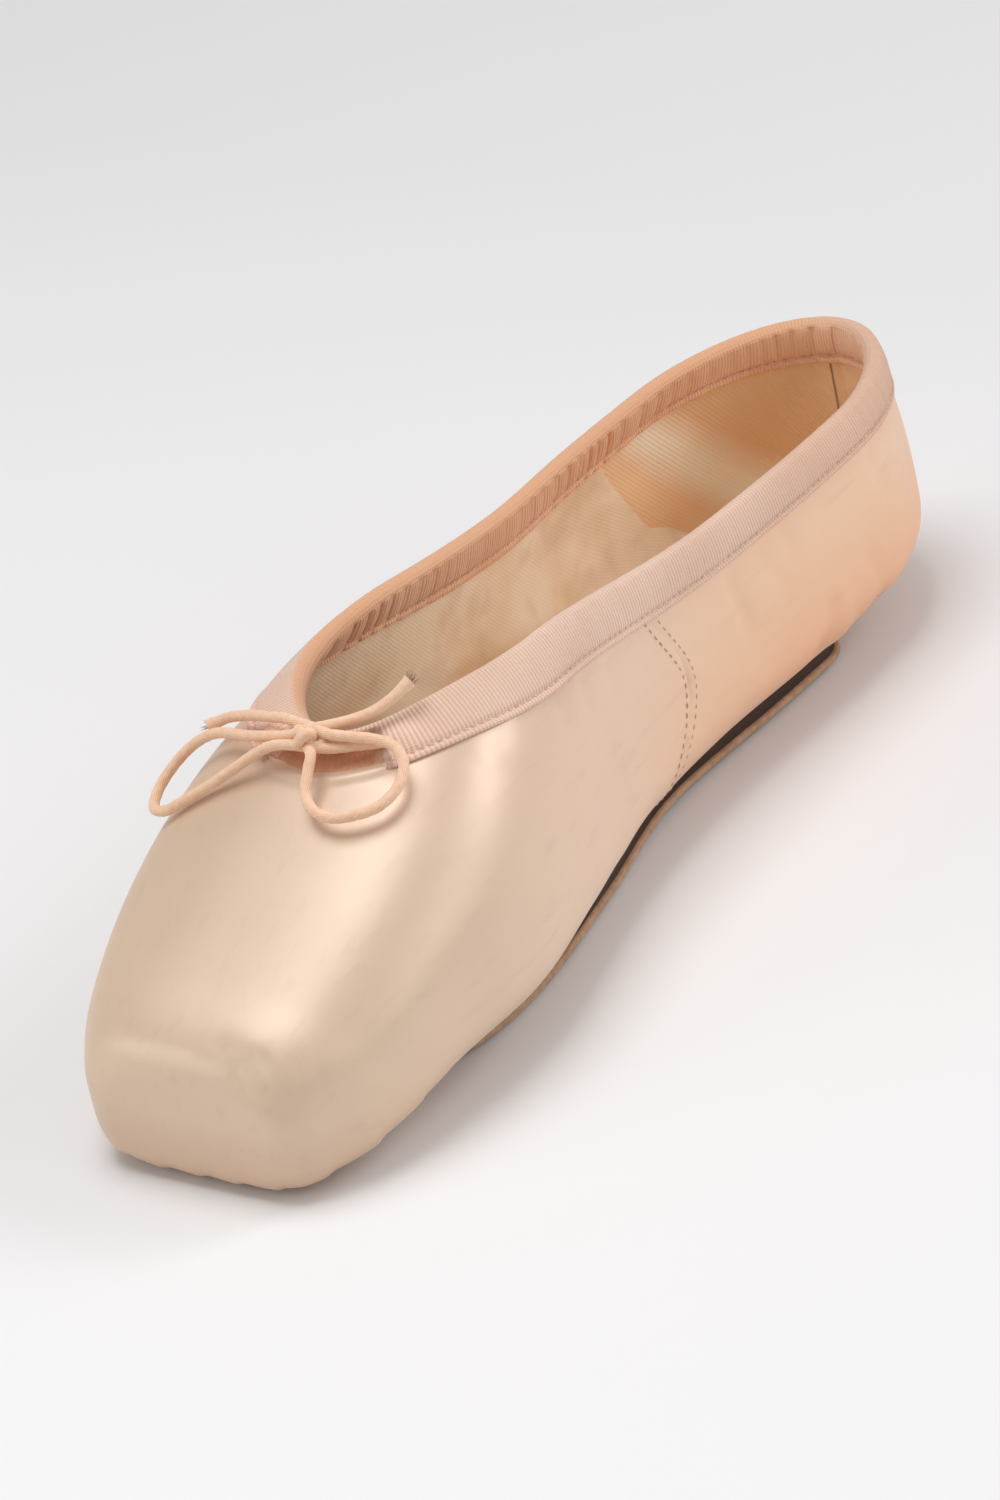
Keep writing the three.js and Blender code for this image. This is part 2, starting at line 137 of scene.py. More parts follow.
class Goods:
    """Sheets of cloth, leather or thread, in millimetres, that are sewn into one mesh."""

    def __init__(self):
        self.points = []
        self.marks = []
        self.faces = []
        self.count = 0

    def sheet(self, points, marks=None, flip=False):
        """Adds a grid of points, with their places on the cloth. flip turns it over."""
        rows, columns = points.shape[:2]
        if marks is None:
            marks = np.zeros((rows, columns, 2))
        index = np.arange(rows * columns).reshape(rows, columns) + self.count
        corners = [index[:-1, :-1], index[:-1, 1:], index[1:, 1:], index[1:, :-1]]
        faces = np.stack(corners[::-1] if flip else corners, -1).reshape(-1, 4)
        self.points.append(points.reshape(-1, 3))
        self.marks.append(marks.reshape(-1, 2))
        self.faces.append(faces)
        self.count += rows * columns

    def piece(self, name, material, sharp=50):
        """Sews the sheets together. Edges that bend by more than sharp degrees stay sharp."""
        mesh = bpy.data.meshes.new(name)
        faces = np.concatenate(self.faces)
        mesh.from_pydata((np.concatenate(self.points) * MM).tolist(), [], faces.tolist())
        marks = mesh.uv_layers.new(name="cloth")
        marks.data.foreach_set("uv", np.concatenate(self.marks)[faces.ravel()].ravel())
        sewn = bmesh.new()
        sewn.from_mesh(mesh)
        bmesh.ops.remove_doubles(sewn, verts=sewn.verts, dist=1e-6)
        bmesh.ops.recalc_face_normals(sewn, faces=sewn.faces)
        for face in sewn.faces:
            face.smooth = True
        for edge in sewn.edges:
            edge.smooth = not edge.is_manifold or edge.calc_face_angle(0) < math.radians(sharp)
        sewn.to_mesh(mesh)
        sewn.free()
        mesh.materials.append(material)
        made = bpy.data.objects.new(name, mesh)
        bpy.context.scene.collection.objects.link(made)
        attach(made, "root")
        return made


def tube(goods, route, radii, sides, relief=None):
    """A closed tube along a route, with its ends gathered to a point."""
    ahead = unit(np.gradient(route, axis=0))
    side = np.cross(ahead[0], [0.3, 0.2, 1.0])
    gone = lengths_along(route)
    turn = np.linspace(0, 2 * math.pi, sides + 1)
    rings = []
    for place, forward in enumerate(ahead):
        side = unit(side - forward * side.dot(forward))
        other = np.cross(forward, side)
        ring = np.cos(turn)[:, None] * side + np.sin(turn)[:, None] * other
        lift = 1 if relief is None else 1 + relief(turn, gone[place])[:, None]
        rings.append(route[place] + ring * radii[place] * lift)
    rings = [np.repeat(route[:1], sides + 1, 0)] + rings + [np.repeat(route[-1:], sides + 1, 0)]
    along = np.concatenate([[0], gone, gone[-1:]])
    marks = np.stack(np.broadcast_arrays(along[:, None] / 10, turn[None, :] / math.pi), -1)
    goods.sheet(np.array(rings), marks)


def nodes_of(name, roughness, sheen=0.0, sheen_roughness=0.5):
    """A new material, its node tree and its shader."""
    material = bpy.data.materials.new(name)
    material.use_nodes = True
    tree = material.node_tree
    shader = tree.nodes["Principled BSDF"]
    shader.inputs["Roughness"].default_value = roughness
    shader.inputs["Sheen Weight"].default_value = sheen
    shader.inputs["Sheen Roughness"].default_value = sheen_roughness
    return material, tree, shader


def coordinates(tree, source="Object", scale=(1, 1, 1), tilt=0.0):
    """Object or cloth coordinates, stretched by a scale, then turned about the first axis."""
    texture = tree.nodes.new("ShaderNodeTexCoord")
    mapping = tree.nodes.new("ShaderNodeMapping")
    mapping.inputs["Scale"].default_value = scale
    mapping.inputs["Rotation"].default_value = (math.radians(tilt), 0, 0)
    tree.links.new(texture.outputs[source], mapping.inputs["Vector"])
    return mapping.outputs["Vector"]


def noise(tree, place, scale, detail=2.0, roughness=0.5):
    texture = tree.nodes.new("ShaderNodeTexNoise")
    texture.inputs["Scale"].default_value = scale
    texture.inputs["Detail"].default_value = detail
    texture.inputs["Roughness"].default_value = roughness
    tree.links.new(place, texture.inputs["Vector"])
    return texture.outputs["Fac"]


def wave(tree, place, direction, scale, distortion=0.0, detail_scale=1.0):
    texture = tree.nodes.new("ShaderNodeTexWave")
    texture.bands_direction = direction
    texture.inputs["Scale"].default_value = scale
    texture.inputs["Distortion"].default_value = distortion
    texture.inputs["Detail"].default_value = 1.0
    texture.inputs["Detail Scale"].default_value = detail_scale
    tree.links.new(place, texture.inputs["Vector"])
    return texture.outputs["Fac"]


def ramp(tree, value, *stops):
    """Colours along a value: each stop is a place from 0 to 1 and a colour."""
    colours = tree.nodes.new("ShaderNodeValToRGB")
    line = colours.color_ramp.elements
    while len(line) < len(stops):
        line.new(0.5)
    for element, (place, colour) in zip(line, stops):
        element.position = place
        element.color = (*colour, 1)
    tree.links.new(value, colours.inputs["Fac"])
    return colours.outputs["Color"]


def mixed(tree, share, first, second):
    """Two colours mixed by a share. Each is a colour or an output that makes one."""
    mix = tree.nodes.new("ShaderNodeMix")
    mix.data_type = "RGBA"
    for socket, value in ((mix.inputs[0], share), (mix.inputs[6], first), (mix.inputs[7], second)):
        if isinstance(value, bpy.types.NodeSocket):
            tree.links.new(value, socket)
        elif isinstance(value, (int, float)):
            socket.default_value = value
        else:
            socket.default_value = (*value, 1)
    return mix.outputs[2]


def between(tree, value, low, high, to_low=0.0, to_high=1.0):
    """A value's range moved to another range, with nothing past its ends."""
    remap = tree.nodes.new("ShaderNodeMapRange")
    remap.inputs["From Min"].default_value = low
    remap.inputs["From Max"].default_value = high
    remap.inputs["To Min"].default_value = to_low
    remap.inputs["To Max"].default_value = to_high
    tree.links.new(value, remap.inputs["Value"])
    return remap.outputs["Result"]


def tinted(tree, colour, tint, value, low, high, share=1.0):
    """A colour that goes over to a tint, up to a share, as a value goes from low to high."""
    return mixed(tree, between(tree, value, low, high, 0, share), colour, tint)


def dressed(tree, shader, colour, *bumps):
    """Gives a shader its colour and its bumps: each a height output and a depth in millimetres."""
    tree.links.new(colour, shader.inputs["Base Color"])
    normal = None
    for height, depth in bumps:
        bump = tree.nodes.new("ShaderNodeBump")
        bump.inputs["Strength"].default_value = 1
        bump.inputs["Distance"].default_value = depth * MM
        tree.links.new(height, bump.inputs["Height"])
        if normal is not None:
            tree.links.new(normal, bump.inputs["Normal"])
        normal = bump.outputs["Normal"]
    tree.links.new(normal, shader.inputs["Normal"])


cord_cotton, tree, shader = nodes_of("cord_cotton", 0.78, 0.35, 0.4)
place = coordinates(tree, "UV")
braid = wave(tree, place, "DIAGONAL", 5.2, 0.3)
fuzz = noise(tree, coordinates(tree), 900, 3)
colour = ramp(tree, braid, (0, (0.86, 0.48, 0.29)), (1, (0.98, 0.68, 0.47)))
colour = tinted(tree, colour, (1.0, 0.79, 0.62), fuzz, 0.4, 0.7, 0.35)
dressed(tree, shader, colour, (braid, 0.05), (fuzz, 0.04))

CORD = 2.0  # its thickness
CORD_SIDES = 20
# the middle line of each string, from the casing to its cut end
STRINGS = {
    "drawstring_left_loop": [
        (13.6, -58.2, 58.8), (11.6, -59.9, 59.0), (9.3, -61.5, 59.2),
        (4.5, -64.2, 59.4), (0.5, -65.8, 60.1), (-3.1, -66.5, 60.3), (-6.2, -67, 59.8),
        (-9.4, -67.6, 58.2), (-13, -69, 55.9), (-18.4, -71, 52.4), (-24.2, -72.5, 49),
        (-29.2, -73.2, 46.2), (-32.9, -71.8, 45.3), (-34.3, -68.4, 46.5), (-33.2, -64.6, 49.3),
        (-29.2, -61.9, 53.3), (-23.7, -61.7, 56.5), (-19, -62.6, 57.9), (-14, -64, 59),
        (-8.8, -64.9, 60.2), (-3.4, -64.8, 61.2), (0.2, -63.4, 62.2), (3.6, -61.6, 62.5),
        (6.6, -59.4, 62.7), (9.6, -56.6, 63.2), (12.2, -53.5, 64.6), (14.3, -50, 66.6),
    ],
    "drawstring_right_loop": [
        (-11.4, -60.4, 58.7), (-9.4, -61.8, 58.9), (-7.4, -62.6, 59), (-3.5, -64.4, 59.2),
        (0.4, -65.6, 60), (2.7, -67.2, 59.8), (3.3, -69.9, 57.4), (4.4, -73, 54.9),
        (7.4, -75.2, 53.5), (11.2, -75.6, 52.9), (15.4, -74, 53.2), (18.9, -71, 53.9),
        (20.5, -67, 55.6), (19.9, -63.4, 57.8), (17.3, -61.5, 60), (13.2, -61.6, 61.1),
        (8.6, -62.6, 61.5), (4.3, -63.4, 61.9), (0.6, -62.8, 62.3), (-3.2, -62.1, 62.3),
        (-6.4, -61.5, 62.3), (-10, -61.1, 61.8), (-14.2, -60, 60.8), (-19, -58.6, 59.2),
        (-23.6, -57.4, 57.3), (-28, -56.8, 54.9),
    ],
}
STANDS_FOR = {
    "drawstring_left_loop": (
        "drawstring_lead_right", "drawstring_loop_left", "drawstring_end_right"),
    "drawstring_right_loop": (
        "drawstring_lead_left", "drawstring_loop_right", "drawstring_end_left"),
}


def braided(turn, gone):
    """The braid's strands, as a share of the cord's radius."""
    strands = np.maximum(np.sin(4 * turn + gone * 2.4), np.sin(4 * turn - gone * 2.4))
    return 0.035 * strands - 0.01


# the cut ends: loose threads, fanned out a little
threads = np.random.default_rng(11)
THREADS = 46


def frayed_end(name, route):
    goods = Goods()
    tip = route[-1]
    ahead = unit(route[-1] - route[-6])
    for _ in range(THREADS):
        spread = threads.normal(0, 1, 3)
        spread -= ahead * spread.dot(ahead)
        start = tip - ahead * 1.2 + spread * 0.34
        length = threads.uniform(1.6, 3.4)
        bend = threads.normal(0, 0.22, 3)
        path = np.array([start + ahead * length * t + spread * 0.38 * t + bend * t * t
                         for t in np.linspace(0, 1, 6)])
        tube(goods, path, np.linspace(0.14, 0.05, 6), 5)
    return goods.piece(name, cord_cotton)


# the knot: the two strings wound tightly round each other
knot_goods = Goods()
KNOT_CENTRE = np.array([0.5, -64.3, 61.0])
turns = np.linspace(0, 2 * math.pi, 150)
wound = np.stack([
    0.92 * (np.sin(turns) + 2 * np.sin(2 * turns)),
    0.80 * (np.cos(turns) - 2 * np.cos(2 * turns)),
    -1.15 * np.sin(3 * turns),
], -1)
tilt = math.radians(-24)
wound = np.stack([
    wound[:, 0],
    wound[:, 1] * math.cos(tilt) - wound[:, 2] * math.sin(tilt),
    wound[:, 1] * math.sin(tilt) + wound[:, 2] * math.cos(tilt),
], -1)
tube(knot_goods, KNOT_CENTRE + wound, np.full(len(turns), 0.51 * CORD), CORD_SIDES, braided)
knot = knot_goods.piece("drawstring_knot_wound", cord_cotton)
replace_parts(knot, "drawstring_knot")

for string, points in STRINGS.items():
    route = smooth_route(points, 0.32)
    radii = np.full(len(route), CORD / 2)
    flare = np.linspace(0, 1, 14)
    radii[-len(flare):] *= 1 + 0.32 * flare ** 2
    goods = Goods()
    tube(goods, route, radii, CORD_SIDES, braided)
    cord = goods.piece(string, cord_cotton)
    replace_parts(cord, *STANDS_FOR[string])
    fray = frayed_end(string + "_fray", route)


# ---- The satin upper ----
# Peach satin over stiffened canvas, pulled over the last: a vamp that covers the box, and
# quarters behind the side seams. Under the toe its edge is pleated in below the sole.

# Sizes are in millimetres. A station is a distance from the platform, and a run follows the
# last's surface from the platform's edge to the middle of the heel.
LENGTH = 236
TOE_ROUND = 4
HEEL_ROUND = 38
HEEL_TUCK = 12.5  # how far the heel's underside is drawn in
TUCK_RUN = 70  # over how much of the length
THROAT = 60
THROAT_ROUND = 38
THROAT_END = THROAT + THROAT_ROUND
MIDDLE = float(cad_high.y) / MM
QUARTER_TURN = math.pi / 2
TOE_RUN = TOE_ROUND * QUARTER_TURN
HEEL_START = TOE_RUN + LENGTH - HEEL_ROUND - TOE_ROUND
FULL_RUN = HEEL_START + HEEL_ROUND * QUARTER_TURN
PLATFORM = 17.0  # from the platform's edge to its middle

# station, height of the underside, half width, height of the widest place, height of the ridge,
# squareness above and below
last_at = read_table([
    (0, 0.9, 21.8, 13, 25.5, 2.8, 4.4),
    (6, 1.1, 26.2, 14.4, 29.8, 2.8, 4.4),
    (15, 1.5, 31.2, 15.6, 34.5, 2.75, 3.7),
    (35, 2.9, 36.2, 19.2, 45.5, 2.8, 2.6),
    (60, 3.3, 38.2, 20.2, 58.0, 2.5, 2.5),
    (85, 3.3, 33.2, 20.3, 67.0, 2.25, 2.35),
    (115, 3.6, 27.0, 21, 73.0, 2.2, 2.1),
    (145, 4.0, 26.0, 21, 74.0, 2.2, 2.05),
    (175, 4.0, 28.3, 21, 69.0, 2.2, 2.1),
    (205, 4.2, 28.8, 21, 65.0, 2.2, 2.2),
    (236, 5.0, 27.5, 21.5, 63.5, 2.2, 2.4),
])
# station, half width of the collar's opening
collar_at = read_table([
    (60, 20.5), (115, 20.6), (145, 21.8), (175, 23.0), (205, 22.6), (236, 21.5),
])
SOLE_START = 37
SOLE_END = 206
SOLE_CORNER = 16
# station, half width of the outsole, how far its underside is off the floor
outsole_at = read_table([
    (SOLE_START, 20.0, 1.0), (55, 25.0, 0.25), (72, 25.5, 0), (104, 20.5, 0), (132, 15.5, 0.9),
    (158, 15.5, 0.1), (166, 16.2, 0), (SOLE_END, 18.0, 0),
])


def ease(value, low, high):
    """0 up to low, 1 from high on, and a smooth rise between them."""
    share = np.clip((value - low) / (high - low), 0, 1)
    return share * share * (3 - 2 * share)


def hill(value, width):
    """1 at 0, falling softly away on both sides of it."""
    return np.exp(-(value / width) ** 2)


def place_of(run):
    """Station, inset and closing for a run along the last, which goes round its two ends."""
    toe = np.clip(run, 0, TOE_RUN) / TOE_ROUND
    heel = np.clip(run - HEEL_START, 0, FULL_RUN - HEEL_START) / HEEL_ROUND
    station = np.where(run < TOE_RUN, TOE_ROUND * (1 - np.cos(toe)), run - TOE_RUN + TOE_ROUND)
    station = np.where(run > HEEL_START, LENGTH - HEEL_ROUND * (1 - np.sin(heel)), station)
    inset = np.where(run < TOE_RUN, TOE_ROUND * (1 - np.sin(toe)), 0)
    return station, inset, np.where(run > HEEL_START, np.cos(heel), 1.0)


def run_of(station):
    """The run at a station: place_of the other way round."""
    station = np.asarray(station, float)
    toe = TOE_ROUND * np.arccos(1 - np.clip(station, 0, TOE_ROUND) / TOE_ROUND)
    heel_start = LENGTH - HEEL_ROUND
    heel = HEEL_START + HEEL_ROUND * np.arcsin(np.clip((station - heel_start) / HEEL_ROUND, 0, 1))
    middle = station - TOE_ROUND + TOE_RUN
    return np.where(station < TOE_ROUND, toe, np.where(station > heel_start, heel, middle))


def last_point(run, turn):
    """A place on the last. turn goes from -90 degrees, below, past 0 at the side, to 90 above."""
    station, inset, closing = place_of(run)
    under, half, mid, crown, up_square, low_square = np.moveaxis(last_at(station), -1, 0)
    upward = turn >= 0
    square = np.where(upward, up_square, low_square)
    flat = np.maximum(np.cos(turn), 0)
    steep = np.minimum(np.abs(np.sin(turn)), 1)
    size = (flat ** square + steep ** square) ** (-1 / square)
    wide = flat * size
    rise = steep * size
    reach = np.where(upward, crown - inset - mid, under + inset - mid)
    tuck = np.where(upward, 0, HEEL_TUCK * (1 - np.sqrt(np.maximum(1 - rise * rise, 0))))
    tuck = tuck * ease(station, LENGTH - TUCK_RUN, LENGTH)
    inward = np.clip(1 + run / PLATFORM, 0, 1)
    return np.stack([
        (half - inset) * wide * closing * inward,
        station - MIDDLE - tuck,
        mid + reach * rise * inward,
    ], -1)


def slopes_at(run, turn, step=1e-3):
    """How a place on the last moves with its run and with its turn."""
    high = np.minimum(turn + step, QUARTER_TURN)
    low = np.maximum(turn - step, -QUARTER_TURN)
    back = (last_point(run + step, turn) - last_point(run - step, turn)) / (2 * step)
    ring = (last_point(run, high) - last_point(run, low)) / (high - low)[..., None]
    return back, ring


def outward(run, turn):
    """The way straight out of the last at a place on it."""
    run, turn = np.broadcast_arrays(np.asarray(run, float), np.asarray(turn, float))
    kept = np.clip(run, 1e-2, FULL_RUN - 1e-2)
    back, ring = slopes_at(kept, turn)
    normal = np.cross(back, ring)
    normal[..., 0] = np.where(np.abs(turn) > QUARTER_TURN - 1e-3, 0, normal[..., 0])
    normal[..., 0] = np.where(run > FULL_RUN - 1e-2, 0, normal[..., 0])
    normal = np.where((run <= 1e-2)[..., None], [0.0, -1.0, 0.0], normal)
    return unit(normal)


def wall_at(station):
    """The wall's thickness: stiff round the toes, thin behind them."""
    return 3 - 1.4 * ease(station, 40, 95)


def turn_across(share, square):
    """The turn at which the last is so far out, as a share of its half width."""
    share = np.clip(share, 0, 1)
    return np.arctan2((1 - share ** square) ** (1 / square), share)


def rounded_end(distance, stretch):
    """A width's share near a round end, which is full at a stretch from it."""
    left = 1 - np.clip(distance / stretch, 0, 1)
    return np.sqrt(1 - left * left)


def both_ends(station, start, end, corner):
    """A width's share between two round ends."""
    return rounded_end(station - start, corner) * rounded_end(end - station, corner)


def collar_turn(run):
    """The turn of the collar's edge."""
    station = place_of(run)[0]
    row = last_at(station)
    opening = collar_at(station)[..., 0] * rounded_end(station - THROAT, THROAT_ROUND)
    return turn_across(opening / row[..., 1], row[..., 4])


def round_throat(count):
    """Stations from the throat back to where its sides run straight, closest at its front."""
    return THROAT + THROAT_ROUND * (1 - np.cos(np.linspace(0, QUARTER_TURN, count)))


def sole_half(station):
    """The outsole's half width, with its two round ends."""
    return outsole_at(station)[..., 0] * both_ends(station, SOLE_START, SOLE_END, SOLE_CORNER)


TUCKED_IN = 6  # how far the satin's lower edge goes in under the outsole
TUCKED_CORNER = 12


def seat_turn(run):
    """The turn of the satin's lower edge."""
    station = place_of(run)[0]
    row = last_at(station)
    ends = both_ends(station, SOLE_START + TUCKED_IN, SOLE_END - TUCKED_IN, TUCKED_CORNER)
    share = (outsole_at(station)[..., 0] - TUCKED_IN) * ends / row[..., 1]
    return -turn_across(share, row[..., 5])


def slid(run, turn, direction, distance):
    """Places on the last moved along a direction, in short steps that follow the surface."""
    steps = 4
    for _ in range(steps):
        back, ring = slopes_at(run, turn)
        across, back_size, ring_size = (np.sum(p * q, -1) for p, q in
                                        ((back, ring), (back, back), (ring, ring)))
        along_back = np.sum(direction * back, -1)
        along_ring = np.sum(direction * ring, -1)
        move = distance / steps / (back_size * ring_size - across * across)
        run = np.clip(run + move * (along_back * ring_size - along_ring * across), 0, FULL_RUN)
        turn = turn + move * (along_ring * back_size - along_back * across)
        turn = np.minimum(turn, QUARTER_TURN)
    return run, turn


def collar_edge(runs):
    """The collar's edge on one side: its turns, the way down from it, and the length gone."""
    turn = collar_turn(runs)
    edge = last_point(runs, turn)
    along = np.gradient(edge, axis=0)
    along[0] = (1, 0, 0)
    along[-1] = (-1, 0, 0)
    return turn, unit(np.cross(along, outward(runs, turn))), lengths_along(edge)


SATIN_DEPTH = 1.0  # from the last's surface in to the canvas under the satin
# the casing is left open under the knot, between two places along the collar from its front
SLOT_LEFT = -5.6
SLOT_RIGHT = 9.4
SLOT_DEPTH = 9.4
slot_runs = run_of(THROAT + 12 * np.linspace(0, 1, 30) ** 2)
turn, down, gone = collar_edge(slot_runs)
lower = last_point(*slid(slot_runs, turn, down, SLOT_DEPTH))
SLOT_EDGE = np.concatenate([
    lower[gone < SLOT_RIGHT],
    lower[gone < -SLOT_LEFT] * (-1, 1, 1),
])


def near(points, start, end, width):
    """1 on a line between two places, falling softly to 0 at its width and past its ends."""
    start = np.array(start, float)
    line = np.array(end, float) - start
    share = np.clip(((points - start) @ line) / line.dot(line), 0, 1)
    gap = points - start - share[..., None] * line
    return np.exp(-np.sum(gap * gap, -1) / (width * width))


# creases placed one by one: start, end, half width, and height, which is below 0 for a trough
CREASES = [
    ((-17, -117.4, 22.5), (15, -117.4, 22.5), 4.6, -0.5),
    ((8, -114.2, 28.2), (14.5, -115.6, 26), 2.8, -0.4),
    ((14.5, -115.6, 26), (20.5, -115.4, 21), 2.8, -0.55),
    ((31, -99, 20), (22, -115, 19), 4.5, -0.3),
    ((31, -72, 38), (27.5, -101, 27), 6.0, -0.3),
    ((-24, -66, 48), (-21, -96, 36), 7.0, -0.3),
    ((25.2, -7, 47), (26.8, -8.5, 41), 1.6, -0.4),
    ((25.7, -16, 49.5), (27.2, -17.5, 44), 1.6, -0.4),
    ((25.8, -24, 52), (27.6, -26, 46), 1.8, -0.4),
    ((25.3, 33.5, 41), (26.2, 34.7, 32), 2.2, -0.6),
    ((26.2, 43, 42), (26.8, 47, 34), 2.6, -0.3),
    ((26.6, 50, 47), (27.4, 52, 38), 2.4, -0.45),
    ((27.8, 59, 22), (25.4, 56.5, 14), 2.6, -0.7),
    ((27.6, 62, 22), (23.5, 66, 10), 3.0, 0.4),
    ((27.6, 74, 24), (22.5, 80, 9), 2.6, -0.75),
    ((26, 84, 22), (20, 88, 8), 3.0, 0.35),
    ((26.4, 83, 41), (27, 84.5, 33), 2.4, -0.45),
    ((25, 100, 42), (24, 98, 28), 5.0, -0.35),
    ((26, 20, 28), (26, 34, 20), 4.0, 0.35),
    ((27.4, -6, 34), (29, -22, 26), 6.0, -0.4),
    ((27.4, 2, 18), (30, -16, 14), 4.0, 0.35),
    ((-25.5, 30, 42), (-26.4, 34, 30), 3.0, -0.5),
    ((-27, 55, 45), (-27.8, 60, 34), 3.4, -0.45),
    ((-27.6, 66, 24), (-22.5, 70, 9), 3.0, -0.7),
    ((-28, 78, 22), (-22, 84, 8), 3.0, 0.4),
    ((-27.4, -4, 34), (-30, -24, 26), 7.0, -0.45),
    ((-25, 96, 44), (-23, 98, 26), 5.0, -0.4),
    ((4, 114, 20), (9, 104, 9), 2.6, -0.4),
    ((-5, 114, 19), (-11, 103, 9), 2.8, -0.4),
]

SEAM = 127  # the side seam's station, about which its line bends
# the side seam on each side: height, and station of the seam
seam_at = read_table([
    (0, 121), (8, 122.5), (16, 124.5), (24, 130.5), (32, 133), (44, 128.5), (60, 122),
])
STITCH_ROWS = (-1.6, 1.6)
STRIP_SEAM = 6.3  # from the heel's middle out to the strip's stitches
PLEAT_CENTRE = 55 - MIDDLE
PLEAT_PITCH = math.radians(9.5)
PLEAT_RISE = 0.8  # each pleat's slow rise, as a share of its width


def satin_relief(points, station):
    """How far the satin stands off the last's surface, in millimetres."""
    x, y, z = np.moveaxis(points, -1, 0)
    relief = np.zeros(x.shape)
    for start, end, width, height in CREASES:
        relief += 1.15 * height * near(points, start, end, width)
    # pleats under the toe, each laid over the next, opening towards the side
    fan = np.arctan2(x, PLEAT_CENTRE - y) + 0.012 * np.sin(y * 0.22)
    pleat = (fan / PLEAT_PITCH + 0.12 * np.sin(fan * 5)) % 1.0
    rise, fall = pleat / PLEAT_RISE, (1 - pleat) / (1 - PLEAT_RISE)
    fold = np.where(pleat < PLEAT_RISE, rise, fall) - 0.4
    outwards = np.hypot(x, y - PLEAT_CENTRE)
    sides = ease(np.abs(fan), 0.42, 0.6) * (1 - ease(np.abs(fan), 1.0, 1.2))
    depth = 0.7 * (1 - ease(z, 2.0, 6.0)) + 0.45 * sides * (1 - ease(z, 5.0, 12.0))
    depth *= (1 - ease(np.abs(fan), 1.75, 2.1)) * ease(outwards, 10, 18)
    depth *= 0.6 + 0.4 * ease(np.abs(fan), 0.3, 0.6)
    relief += fold * depth * (1 - ease(station, 62, 74))
    # puckers below the binding, where the drawstring gathers it
    top = ease(z, 42, 56) * (station > 66)
    pucker = np.sin(station / 1.35 + 1.6 * np.sin(station / 7.5))
    relief += 0.14 * pucker * (0.6 + 0.4 * np.sin(station / 11 + x)) * top
    # the side seam, pressed flat between two rows of stitches
    from_seam = station - seam_at(z)[..., 0]
    relief += 0.28 * hill(from_seam, 2.4) - 0.75 * hill(from_seam, 0.42)
    for row in STITCH_ROWS:
        relief -= 0.2 * hill(from_seam - row, 0.5)
    # the satin's edge, rolled up where the casing is left open under the knot
    slot_gap = np.linalg.norm(points[..., None, :] - SLOT_EDGE, axis=-1).min(-1)
    relief += 0.7 * hill(slot_gap, 1.1)
    # the satin strip down the back of the heel and under it
    behind = ease(station, 196, 204)
    strip = 1 - ease(np.abs(x), 7.4, 8.2)
    relief += behind * (0.55 * strip - 0.3 * hill(np.abs(x) - STRIP_SEAM, 0.45))
    relief += 0.12 * behind * strip * np.sin(z / 2.3 + np.sin(z / 5)) * ease(z, 30, 12)
    return np.maximum(relief, 0.1 - SATIN_DEPTH)


def column_shares(columns):
    """Where a sheet's columns are from its top edge to its bottom edge, closer towards the end."""
    return np.linspace(0, 1, columns) ** 0.9


def laid_over(goods, runs, columns, outer, inner):
    """A closed shell of cloth along the last, on both sides, from the collar to under the sole.
    outer and inner say how far its two faces stand off the last at each point and station."""
    high = collar_turn(runs[:, 0])[:, None]
    low = seat_turn(runs[:, 0])[:, None]
    turn = high + (low - high) * column_shares(columns)
    run = runs if runs.shape[1] > 1 else np.repeat(runs, columns, 1)
    station = place_of(run)[0]
    surface = last_point(run, turn)
    away = outward(run, turn)
    steps = np.linalg.norm(np.diff(surface, axis=1), axis=-1)
    around = np.concatenate([np.zeros((len(run), 1)), np.cumsum(steps, 1)], 1)
    for side in (1, -1):
        mirror = np.array([side, 1, 1])
        outside = (surface + away * outer(surface * mirror, station)[..., None]) * mirror
        inside = (surface + away * inner(surface * mirror, station)[..., None]) * mirror
        marks = np.stack([run, side * around], -1) / 10
        goods.sheet(outside, marks, side < 0)
        goods.sheet(inside, marks, side > 0)
        for column, lit in ((0, side > 0), (-1, side < 0)):
            width = np.maximum(np.abs(outside[:-1, column, 0]), np.abs(outside[1:, column, 0]))
            for row in np.nonzero(width > 1e-4)[0]:
                rim = np.stack([outside[row:row + 2, column], inside[row:row + 2, column]])
                goods.sheet(rim, np.repeat(marks[None, row:row + 2, column], 2, 0), lit)
        for row, lit in ((0, side < 0), (-1, side > 0)):
            if outside[row, :, 0].std() > 1e-3:
                rim = np.stack([outside[row], inside[row]])
                goods.sheet(rim, np.repeat(marks[row][None], 2, 0), lit)


def in_by(depth):
    """A face at one depth below the last's surface."""
    return lambda points, station: np.full(station.shape, -float(depth))


COLUMNS = 150
BENT_FROM = 100  # between these stations the sheets' rows bend with the seam
BENT_TO = 156
# how far the seam's line is from a straight one, at each column of the sheets
straight = run_of(np.array([SEAM]))
high, low = collar_turn(straight), seat_turn(straight)
heights = last_point(straight, high + (low - high) * column_shares(COLUMNS))[..., 2]
seam_shift = seam_at(heights)[..., 0] - SEAM

